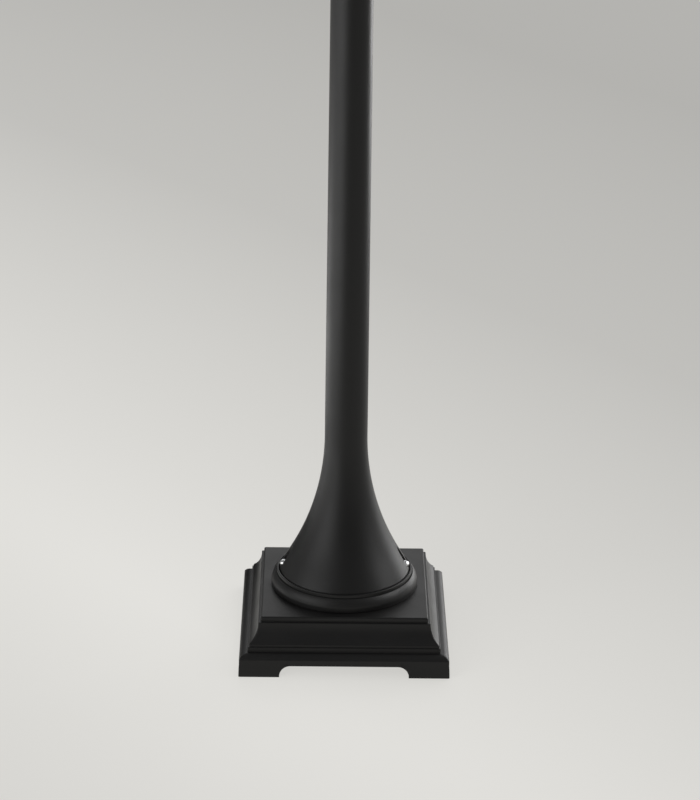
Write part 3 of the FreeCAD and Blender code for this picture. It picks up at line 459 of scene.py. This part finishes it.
def collarSection(c):
    # a sharp quirk parts the bulge from the lip's outer wall
    rim = c["outer"] - c["wall"]
    wide, deep = c["quirk"]
    edge, bottom = c["quirkEase"]
    lip = rim + c["lip"]
    step = c["top"] - c["lipHeight"]
    return profile((rim - c["shelfWidth"], c["low"], c["ease"]), (c["outer"], c["low"], c["ease"]),
                   (c["outer"], c["low"] + c["foot"], c["footEase"]),
                   (lip + wide, step - wide / 2, edge, c["bulge"]), (lip, step - deep, bottom),
                   (lip, c["top"], c["lipRound"]), (rim, c["top"], c["rimEase"]),
                   (rim, c["shelf"], c["shelfEase"]), (rim - c["shelfWidth"], c["shelf"], c["ease"]))


addPiece("collar_casting", [turned(collarSection(collar), columns=192)], "black_coat", "post",
         ["collar_ring"])

# Post foot: a trumpet with an upright scoop in each side, where a screw stands on a lug
trumpet = {"low": lowOf("post_foot"), "top": topOf("post_foot"), "foot": reachOf("post_foot"), "neck": 20.35,
           "footHeight": 9.2, "footEase": 0.8, "cone": 18.6, "flare": 244.2, "angle": math.radians(29.55),
           "wall": 3.4, "wallSlant": 1.05, "innerReach": (48.0, 98.0), "scoop": (5.0, 8.3), "scoopEdge": 0.25,
           "scoopBlend": 0.6, "scoopMargin": 2.0, "lug": 4.0, "lugHeight": 12.3, "lugBlend": 0.3,
           # its grid: columns in degrees by a step, and rows from the foot up by a count
           "fineTurns": (-8, 8.01, 0.2), "coarseTurns": (11, 170, 3.0), "bottomRow": 4.0,
           "bandRows": (1.0, 7), "lugRows": (1.3, 7), "pocketRows": (96, 60), "flareRows": (98, 228, 58),
           "wallRows": 40}


def trumpetRadius(level, t):
    # upright foot, straight cone, then a circle of the flare's radius that runs into the upright neck
    footTop = t["low"] + t["footHeight"]
    coneTop = footTop + t["cone"]
    flareTop = coneTop + t["flare"] * math.sin(t["angle"])
    cone = t["foot"] - (level - footTop) * math.tan(t["angle"])
    drop = np.clip(flareTop - level, 0, t["flare"])
    arc = t["neck"] + t["flare"] - np.sqrt(t["flare"] ** 2 - drop ** 2)
    return np.where(level < footTop, t["foot"], np.where(level < coneTop, cone, arc))


def trumpetSkin(t):
    # a height field r(turn, level): the trumpet's radius, cut back above the lug to an upright channel with
    # a round end, m - sqrt(w^2 - y^2), and steep sides at y = +-w, and pushed out to the lug's far wall below
    turn = sideTurns(t["fineTurns"], t["coarseTurns"])
    circle = t["foot"] - t["lug"]
    floor = t["low"] + t["lugHeight"]
    footTop = t["low"] + t["footHeight"]
    band, bandRows = t["bandRows"]
    lugStart, lugRows = t["lugRows"]
    below = np.concatenate([[t["low"], t["low"] + t["bottomRow"]],
                            np.linspace(footTop - band, footTop + band, bandRows),
                            np.linspace(footTop + lugStart, floor, lugRows)])
    above = np.concatenate([np.linspace(floor, *t["pocketRows"]), np.linspace(*t["flareRows"]), [t["top"]]])
    above = above[above <= t["top"]]

    side = circle * np.sin(turn)
    forward = np.where(np.cos(turn) > 0, 1, -1) * circle * np.cos(turn)
    level = below[:, None]
    radius = trumpetRadius(level, t)
    corner = np.clip(1 - np.abs(level - footTop) / t["footEase"], 0, 1)
    radius = radius - corner ** 2 * t["footEase"] / 4 + 0 * turn
    lug = forward + np.sqrt(np.maximum(t["lug"] ** 2 - side ** 2, 0))
    inLug = np.abs(side) < t["lug"]
    lowRows = np.where(inLug, -smoothLess(-radius, -lug, t["lugBlend"]), radius)
    lowRows = np.minimum(lowRows, t["foot"])

    level = above[:, None]
    radius = trumpetRadius(level, t) + 0 * turn
    half, reach = t["scoop"]
    off = np.abs(radius * np.sin(turn))
    steep = (off - half + t["scoopEdge"]) / t["scoopEdge"] * t["foot"] / 4
    scoop = circle - reach + half - np.sqrt(np.maximum(half ** 2 - off ** 2, 0)) + np.maximum(steep, 0)
    highRows = np.where(off < half + t["scoopMargin"], smoothLess(radius, scoop, t["scoopBlend"]), radius)

    wallRows = np.linspace(t["top"], t["low"], t["wallRows"])[:, None]
    inside = trumpetRadius(wallRows, t) - t["wall"] * t["wallSlant"] + 0 * turn
    inside = np.where(wallRows < t["innerReach"][1], np.minimum(inside, t["innerReach"][0]), inside)
    rows = np.vstack([lowRows, highRows, inside])
    heights = np.vstack([below[:, None], above[:, None], wallRows]) + 0 * turn
    return skin(np.stack([rows * np.cos(turn), rows * np.sin(turn), heights], axis=-1))


addPiece("trumpet_foot", [trumpetSkin(trumpet)], "black_coat", "post", ["post_foot"])

# Foot screws: dome heads with a cross recess
footScrew = {"circle": trumpet["foot"] - trumpet["lug"], "seat": trumpet["low"] + trumpet["lugHeight"],
             "head": 3.9, "height": 3.6, "rim": 1.3, "rimEase": 0.2, "dome": 0.78, "rings": 48, "shank": 2.0,
             "length": 33.3, "point": 0.6, "arm": 2.3, "armEdge": 0.5, "slot": 0.42, "slotEdge": 0.15,
             "depth": 1.7, "turns": (0.5, 1.1)}


def crossScrew(s, turnedBy):
    # a turned dome whose top is lowered inside a cross: depth * product of soft steps across each arm
    head = arcRun((s["head"], s["rim"]), (0, s["height"]), s["dome"], s["rings"] // 2)
    share, spots = np.linspace(0, 1, s["rings"] + 1), np.linspace(0, 1, len(head))
    dome = np.stack([np.interp(share, spots, head[:, 0]), np.interp(share, spots, head[:, 1])], axis=1)
    stem = np.array([(0, -s["length"]), (s["shank"] - s["point"], -s["length"]),
                     (s["shank"], s["point"] - s["length"]), (s["shank"], 0),
                     (s["head"] - s["rimEase"], 0), (s["head"], s["rimEase"])])
    points, quads = turned(np.vstack([stem, dome]), columns=96)
    x = points[:, 0] * math.cos(turnedBy) + points[:, 1] * math.sin(turnedBy)
    y = points[:, 1] * math.cos(turnedBy) - points[:, 0] * math.sin(turnedBy)

    def arm(a, b):
        return softStep(s["slot"] - np.abs(a), s["slotEdge"]) * softStep(s["arm"] - np.abs(b), s["armEdge"])

    cut = s["depth"] * np.maximum(arm(x, y), arm(y, x))
    lowered = points - np.outer(np.where(points[:, 2] > s["rim"], cut, 0), [0, 0, 1])
    return lowered, quads


screwPair = [moved(crossScrew(footScrew, turn), side * footScrew["circle"], 0, footScrew["seat"])
             for side, turn in zip((1, -1), footScrew["turns"])]
addPiece("foot_screw_pair", screwPair, "bright_screw", "post", ["post_foot_screws"])
print("base: plinth, collar, trumpet foot and screws")

# Pole: a slightly tapered tube with a drilled hole each side for the neck's grub screws
pole = {"low": lowOf("pole"), "top": topOf("pole"), "foot": reachOf("pole"), "head": 19.25, "bore": 16.95,
        "hole": 2.6, "holeLevel": topOf("pole") - 22.0, "holeDepth": 1.6, "holeEase": 0.35, "holeBand": 5.0,
        "holeRows": (-4, 4.01, 0.2), "rows": (24, 6), "fineTurns": (-10, 10.01, 0.6),
        "coarseTurns": (12.5, 168, 2.5)}


def poleSkin(p):
    # r = foot + (head - foot) * share of the height, less the hole's depth inside a disc at each side
    turn = sideTurns(p["fineTurns"], p["coarseTurns"])
    level = np.concatenate([np.linspace(p["low"], p["holeLevel"] - p["holeBand"], p["rows"][0]),
                            p["holeLevel"] + np.arange(*p["holeRows"]),
                            np.linspace(p["holeLevel"] + p["holeBand"], p["top"], p["rows"][1])])[:, None]
    radius = p["foot"] + (p["head"] - p["foot"]) * (level - p["low"]) / (p["top"] - p["low"])
    away = np.hypot(radius * np.sin(turn), level - p["holeLevel"])
    radius = radius - p["holeDepth"] * softStep(p["hole"] - away, p["holeEase"])
    bore = p["bore"] + 0 * turn
    rows = np.vstack([radius, bore[None], bore[None]])
    heights = np.vstack([level, [[p["top"]]], [[p["low"]]]]) + 0 * turn
    return skin(np.stack([rows * np.cos(turn), rows * np.sin(turn), heights], axis=-1))


addPiece("pole_tube", [poleSkin(pole)], "black_coat", "post", ["pole"])

# Neck: spigot in the pole, half-round bead, then a flare out to the pan
neck = {"poleTop": pole["top"], "low": lowOf("neck_casting"), "top": topOf("neck_casting"),
        "flange": reachOf("neck_casting"), "bore": 7.0, "boreEase": 0.3, "spigot": 16.85, "spigotEase": 0.5,
        "bead": (20.6, 9.0, 3.4), "beadEase": (0.3, 0.4), "waist": 20.0, "edge": 3.0, "hollow": 5.0,
        "ease": 0.6}


def neckSection(n):
    radius, tall, bulge = n["bead"]
    low, high = n["beadEase"]
    beadTop = n["poleTop"] + tall
    return profile((n["bore"], n["low"], n["spigotEase"]), (n["spigot"], n["low"], n["spigotEase"]),
                   (n["spigot"], n["poleTop"], 0), (radius, n["poleTop"], low),
                   (radius, beadTop, high, bulge), (n["waist"], beadTop, high),
                   (n["flange"], n["top"] - n["edge"], n["ease"], -n["hollow"]),
                   (n["flange"], n["top"], n["ease"]), (n["bore"], n["top"], n["boreEase"]), steps=20)


addPiece("neck_turning", [turned(neckSection(neck), columns=144)], "black_coat", "post", ["neck_casting"])
print("pole and neck")


# CAD nodes with many small holes: a welded copy with eased edges

def easedCopy(name, node, slotName, body, ease):
    # coplanar triangles are joined first, so that only real edges are eased
    bevelling = {"flatTurn": 1, "edgeTurn": 35, "segments": 2}
    mesh = cadNodes[node].data.copy()
    mesh.name = name
    mesh.materials.clear()
    if "custom_normal" in mesh.attributes:
        mesh.attributes.remove(mesh.attributes["custom_normal"])
    shell = bmesh.new()
    shell.from_mesh(mesh)
    bmesh.ops.remove_doubles(shell, verts=shell.verts, dist=weld)
    bmesh.ops.dissolve_limit(shell, angle_limit=math.radians(bevelling["flatTurn"]),
                             verts=shell.verts, edges=shell.edges)
    shell.to_mesh(mesh)
    shell.free()
    piece = dressPiece(name, mesh, slotName, body, [node])
    bevel = piece.modifiers.new("ease", "BEVEL")
    bevel.width = ease * mm
    bevel.segments = bevelling["segments"]
    bevel.limit_method = "ANGLE"
    bevel.angle_limit = math.radians(bevelling["edgeTurn"])
    bevel.harden_normals = True


easedNodes = {"lantern_pan": ("black_coat", 0.5), "top_frame": ("black_coat", 0.4),
              "corner_bar_back_right": ("black_coat", 0.4), "corner_bar_back_left": ("black_coat", 0.4),
              "corner_bar_front_left": ("black_coat", 0.4), "corner_bar_front_right": ("black_coat", 0.4),
              "lamp_holder": ("holder_ceramic", 0.6), "terminal_block": ("block_plastic", 0.4)}
for node, (slotName, ease) in easedNodes.items():
    easedCopy(node + "_eased", node, slotName, "post", ease)
print("cage: pan, bars and top frame")

# Roof: a swept section carried round a square, with a seat rib inside and two clamping bosses
roof = {"low": topOf("glass_front") - 1.2, "outer": 90.0, "fascia": 11.5, "eave": (3.5, 2.5), "rise": 51.5,
        "hollow": 8.0, "cap": (17.0, 2.0), "capWall": 5.0, "wall": 3.0, "corner": 1.3, "ease": 0.6,
        "innerEase": 0.5, "rib": (69.8, 73.8), "ribLow": topOf("roof_gasket"), "ribRise": (7.0, 6.0),
        "ribEase": 0.4, "ribCorner": 0.6, "boss": 5.5, "bossHeight": 2.0, "bossHole": 2.1,
        "bossEase": (0.5, 0.3), "level": (lowOf("thumb_screw_right") + topOf("thumb_screw_right")) / 2}


def roofSection(r):
    # up the fascia and the hollow slope to the cap, then back down inside
    top = r["low"] + r["fascia"]
    eaveTop = top + r["eave"][1]
    shoulder = eaveTop + r["rise"]
    crown = shoulder + r["cap"][1]
    under = crown - r["capWall"]
    eave, wall, cap, e = r["outer"] - r["eave"][0], r["wall"], r["cap"][0], r["ease"]
    return profile((r["outer"] - wall, r["low"], e), (r["outer"], r["low"], e), (r["outer"], top, e),
                   (eave, eaveTop, e / 2), (cap, shoulder, e / 2, -r["hollow"]), (cap, crown, e),
                   (hub, crown, 0), (0, crown, 0), (0, under, 0), (hub, under, 0),
                   (cap - wall / 2, under, r["innerEase"]), (cap - wall / 2, shoulder - wall, 0),
                   (eave - wall, eaveTop - wall, r["innerEase"], r["hollow"]),
                   (r["outer"] - wall, top - wall / 2, r["innerEase"]), steps=24)


def roofParts(r):
    eaveTop = r["low"] + r["fascia"] + r["eave"][1]
    inner, outer = r["rib"]
    rib = profile((inner, r["ribLow"], r["ribEase"]), (outer, r["ribLow"], r["ribEase"]),
                  (outer, eaveTop + r["ribRise"][1], 0), (inner, eaveTop + r["ribRise"][0], 0))
    seat, face = r["outer"] - r["wall"], r["outer"] + r["bossHeight"]
    rim, hole = r["bossEase"]
    ring = layDown(turned(profile((r["bossHole"], seat, 0), (r["boss"], seat, 0), (r["boss"], face, rim),
                                  (r["bossHole"], face, hole)), columns=64), r["level"])
    return [squared(roofSection(r), r["corner"]), squared(rib, r["ribCorner"]), ring, spun(ring, 2)]


addPiece("roof_casting", roofParts(roof), "black_coat", "roof", ["roof_shell"])

# Finial: turned foot, neck, ball and tip on a stud
finial = {"low": lowOf("finial"), "seat": topOf("roof_shell"), "top": topOf("finial"), "stud": 3.0,
          "studEase": 0.5, "foot": (14.0, 4.0, 1.0), "footEase": 0.4, "neck": (5.5, 5.0), "neckEase": 0.6,
          "ball": 11.0, "ballEase": 0.8, "tip": 1.0, "tipHollow": 1.0, "tipEase": 0.3}


def finialSection(f):
    radius, tall, swell = f["foot"]
    neck, neckHeight = f["neck"]
    neckLow = f["seat"] + tall
    neckTop = neckLow + neckHeight
    ballTop = neckTop + 2 * math.sqrt(f["ball"] ** 2 - neck ** 2)
    return profile((0, f["low"], 0), (f["stud"], f["low"], f["studEase"]), (f["stud"], f["seat"], 0),
                   (radius, f["seat"], f["footEase"]), (neck, neckLow, f["neckEase"], swell),
                   (neck, neckTop, f["neckEase"]), (neck, ballTop, f["ballEase"], f["ball"] - neck),
                   (f["tip"], f["top"], f["tipEase"], -f["tipHollow"]), (0, f["top"], 0), steps=32)


addPiece("finial_turning", [turned(finialSection(finial), columns=96)], "black_coat", "roof", ["finial"])

# Thumb screws: knurled heads on plain shanks
thumb = {"tip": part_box("thumb_screw_right")[0].x / mm, "end": reachOf("thumb_screw_right"), "head": 6.0,
         "length": 8.0, "shank": 2.0, "tipEase": 0.4, "seatEase": 0.5, "rimBand": 2.0, "rimEase": 0.8,
         "dish": 0.6, "dishRim": (1.6, 2.0), "dishEase": 0.3, "grips": 18, "grip": 0.45,
         "gripFade": (1.2, 0.8), "core": 0.1}


def thumbSkin(t):
    # a turned head whose radius dips between the grips: r - grip * (1 + cos(grips * turn)) / 2,
    # fading towards the axis
    seat, end, head = t["end"] - t["length"], t["end"], t["head"]
    dish = end - t["dish"]
    section = profile((0, t["tip"], 0), (t["shank"], t["tip"], t["tipEase"]), (t["shank"], seat, 0),
                      (head, seat, t["seatEase"]), (head, seat + t["rimBand"], 0),
                      (head, end - t["rimBand"], 0), (head, end, t["rimEase"]),
                      (head - t["dishRim"][0], end, t["dishEase"]),
                      (head - t["dishRim"][1], dish, t["dishEase"]), (0, dish, 0))
    points, quads = turned(section, columns=180)
    radius = np.hypot(points[:, 0], points[:, 1])
    turn = np.arctan2(points[:, 1], points[:, 0])
    start, width = t["gripFade"]
    outer = np.clip((radius - head + start) / width, 0, 1)
    dip = 1 - t["grip"] * outer * (1 + np.cos(t["grips"] * turn)) / 2 / np.maximum(radius, t["core"])
    return points * np.stack([dip, dip, np.ones_like(dip)], axis=1), quads


for side, quarters in (("right", 0), ("left", 2)):
    head = spun(layDown(thumbSkin(thumb), roof["level"]), quarters)
    addPiece("thumb_screw_" + side + "_knurled", [head], "bright_screw", side + "_thumb_screw",
             ["thumb_screw_" + side])
print("roof, finial and thumb screws")


# Stage: pale floor, soft lamps, a studio round it and the camera

def addFlat(name, corners, material):
    mesh = bpy.data.meshes.new(name)
    mesh.from_pydata(corners, [], [(0, 1, 2, 3)])
    mesh.materials.append(material)
    flat = bpy.data.objects.new(name, mesh)
    bpy.context.scene.collection.objects.link(flat)
    return flat


def paleFloor():
    # the floor's tone, a painted pool of light, falls off with d = length of (x + lean * y + shift, squeeze *
    # y), a slanting oval round the foot of the object; for rays that look at it a share of it is even, and
    # the rest is lit and takes the shadow
    stage = {"half": 40.0, "lean": 0.72, "shift": 0.136, "squeeze": 0.3, "reach": 2.1, "lit": 0.35,
             "tones": ((0.0, 0.94), (0.12, 0.86), (0.5, 0.645), (1.0, 0.535)), "warm": (1.0, 0.988, 0.948)}
    material, tree, shader = startFinish("paleFloor")
    tree.nodes.remove(shader)
    place = addNode(tree, "TexCoord")
    split = addNode(tree, "SeparateXYZ")
    slant = addNode(tree, "Math", {1: stage["lean"]}, "MULTIPLY_ADD")
    shifted = addNode(tree, "Math", {1: stage["shift"]}, "ADD")
    squeezed = addNode(tree, "Math", {1: stage["squeeze"]}, "MULTIPLY")
    pair = addNode(tree, "CombineXYZ")
    away = addNode(tree, "VectorMath", operation="LENGTH")
    reach = addNode(tree, "MapRange", {"From Max": stage["reach"]})
    # painted light: the ramp's tones make the floor brightest at the object's foot and darker farther off
    ramp = addNode(tree, "ValToRGB")
    elements = ramp.color_ramp.elements
    for position, tone in stage["tones"][1:-1]:
        elements.new(position)
    for element, (position, tone) in zip(elements, stage["tones"]):
        element.color = (*(tone * share for share in stage["warm"]), 1)
    path = addNode(tree, "LightPath")
    looking = addNode(tree, "Math", operation="MAXIMUM")
    through = addNode(tree, "Math", operation="MAXIMUM")
    cover = addNode(tree, "MapRange", {"To Min": 1.0, "To Max": stage["lit"]})
    even = addNode(tree, "Emission")
    cloth = addNode(tree, "BsdfDiffuse")
    mix = addNode(tree, "MixShader")
    wire(tree, (place.outputs["Object"], split.inputs[0]), (split.outputs["Y"], slant.inputs[0]),
         (split.outputs["X"], slant.inputs[2]), (slant.outputs[0], shifted.inputs[0]),
         (split.outputs["Y"], squeezed.inputs[0]), (shifted.outputs[0], pair.inputs[0]),
         (squeezed.outputs[0], pair.inputs[1]), (pair.outputs[0], away.inputs[0]),
         (away.outputs["Value"], reach.inputs[0]), (reach.outputs[0], ramp.inputs["Fac"]),
         (path.outputs["Is Camera Ray"], looking.inputs[0]),
         (path.outputs["Is Glossy Ray"], looking.inputs[1]), (looking.outputs[0], through.inputs[0]),
         (path.outputs["Is Transmission Ray"], through.inputs[1]), (through.outputs[0], cover.inputs[0]),
         (cover.outputs[0], mix.inputs[0]), (ramp.outputs["Color"], even.inputs["Color"]),
         (ramp.outputs["Color"], cloth.inputs["Color"]), (even.outputs["Emission"], mix.inputs[1]),
         (cloth.outputs["BSDF"], mix.inputs[2]),
         (mix.outputs["Shader"], tree.nodes["Material Output"].inputs["Surface"]))
    h = stage["half"]
    floor = addFlat("floor", [(-h, -h, 0), (h, -h, 0), (h, h, 0), (-h, h, 0)], material)
    return floor


def darkCard():
    # a painted dark reflection: it stands on the floor behind the plinth's left side, and only shows where
    # the coat mirrors it
    card = {"left": -0.4, "right": -0.105, "behind": 0.2, "low": 0.001, "top": 0.09,
            "tone": (0.12, 0.12, 0.12)}
    material, tree, shader = startFinish("darkCard")
    shader.inputs["Base Color"].default_value = (*card["tone"], 1)
    shader.inputs["Specular IOR Level"].default_value = 0.0
    places = [("left", "low"), ("right", "low"), ("right", "top"), ("left", "top")]
    panel = addFlat("darkCard", [(card[x], card["behind"], card[z]) for x, z in places], material)
    panel.visible_camera = False
    panel.visible_diffuse = False
    panel.visible_transmission = False
    panel.visible_shadow = False


def floorFlag(floor):
    # what a flagged lamp lights: everything but the floor
    flag = bpy.data.collections.new("floorFlag")
    flag.objects.link(floor)
    flag.collection_objects[0].light_linking.link_state = "EXCLUDE"
    return flag


def softBox(name, place, aim, width, height, level, flag):
    # a lamp of that radiance: power = level * pi * area; a flag keeps its light off the floor
    light = bpy.data.lights.new(name, "AREA")
    light.shape = "RECTANGLE"
    light.size = width
    light.size_y = height
    light.energy = level * math.pi * width * height
    lamp = bpy.data.objects.new(name, light)
    bpy.context.scene.collection.objects.link(lamp)
    facing = (Vector(place) - Vector(aim)).to_track_quat("Z", "Y")
    lamp.matrix_world = Matrix.Translation(place) @ facing.to_matrix().to_4x4()
    lamp.visible_camera = False
    lamp.visible_transmission = False
    lamp.light_linking.receiver_collection = flag


def studioRoom():
    # dimmer towards the camera and the left, brighter behind and to the right; the camera sees a haze of
    # the far floor's tone there, also through glass, so that no horizon shows in low views
    room = {"front": 0.22, "back": 0.5, "towards": (0.6, 0.8, 0.0), "span": (-0.4, 0.9),
            "haze": (0.4067, 0.4028, 0.3859)}
    world = bpy.data.worlds.new("studioRoom")
    bpy.context.scene.world = world
    world.use_nodes = True
    tree = world.node_tree
    place = addNode(tree, "TexCoord")
    turn = addNode(tree, "VectorMath", {1: room["towards"]}, "DOT_PRODUCT")
    ramp = addNode(tree, "MapRange", {"From Min": room["span"][0], "From Max": room["span"][1],
                                      "To Min": room["front"], "To Max": room["back"]})
    ramp.interpolation_type = "SMOOTHSTEP"
    background = tree.nodes["Background"]
    background.inputs["Color"].default_value = (1, 1, 1, 1)
    haze = addNode(tree, "Background", {"Color": (*room["haze"], 1)})
    path = addNode(tree, "LightPath")
    looking = addNode(tree, "Math", operation="MAXIMUM")
    mix = addNode(tree, "MixShader")
    wire(tree, (place.outputs["Generated"], turn.inputs[0]), (turn.outputs["Value"], ramp.inputs["Value"]),
         (ramp.outputs["Result"], background.inputs["Strength"]),
         (path.outputs["Is Camera Ray"], looking.inputs[0]),
         (path.outputs["Is Transmission Ray"], looking.inputs[1]), (looking.outputs[0], mix.inputs[0]),
         (background.outputs["Background"], mix.inputs[1]), (haze.outputs["Background"], mix.inputs[2]),
         (mix.outputs["Shader"], tree.nodes["World Output"].inputs["Surface"]))


def placeCamera():
    # eye = target + distance * direction, then the picture's roll about the line of sight
    view = {"azimuth": -0.0107168, "elevation": 0.382035, "roll": 0.0138491, "distance": 2.732956,
            "across": 0.00316395, "height": 0.24323458, "lens": 129.96, "sensor": 36.0, "far": 200.0}
    azimuth, elevation, roll = view["azimuth"], view["elevation"], view["roll"]
    back = Vector((math.sin(azimuth) * math.cos(elevation), -math.cos(azimuth) * math.cos(elevation),
                   math.sin(elevation)))
    right = Vector((math.cos(azimuth), math.sin(azimuth), 0))
    up = back.cross(right)
    across = right * math.cos(roll) + up * math.sin(roll)
    upright = up * math.cos(roll) - right * math.sin(roll)
    eye = right * view["across"] + Vector((0, 0, view["height"])) + back * view["distance"]
    data = bpy.data.cameras.new("camera")
    data.sensor_width = view["sensor"]
    data.lens = view["lens"]
    data.clip_end = view["far"]
    camera = bpy.data.objects.new("camera", data)
    bpy.context.scene.collection.objects.link(camera)
    axes = Matrix((across, upright, back)).transposed().to_4x4()
    camera.matrix_world = Matrix.Translation(eye) @ axes
    bpy.context.scene.camera = camera


flag = floorFlag(paleFloor())
studioRoom()
base = (0, 0, 0.25)      # where most lamps aim
lamps = {                # place, aim, width, height, radiance, flag
    "leftBox": ((-1.05, -1.0, 0.7), base, 0.9, 1.3, 1.45, None),
    "leftSide": ((-1.5, -0.52, 0.6), base, 0.9, 0.6, 2.2, flag),
    "leftCard": ((-1.1, -0.42, 0.012), (-1.1, -0.42, 1), 1.3, 2.4, 2.0, None),
    "rightBox": ((3.375, 0, 2.35), base, 2.25, 2.0, 4.8, flag),
    "rearBox": ((1.1, 1.1, 0.3), base, 0.9, 0.6, 4.3, flag),
    "rearTop": ((2.25, 2.5, 2.6), base, 2.25, 1.5, 1.8, None),
    "backBox": ((0, 3.5, 2.6), base, 2.25, 1.5, 1.5, None),
}
for name, lamp in lamps.items():
    softBox(name, *lamp)
darkCard()
placeCamera()
bpy.context.scene.view_settings.view_transform = "Standard"
print("stage: floor, lamps and camera")
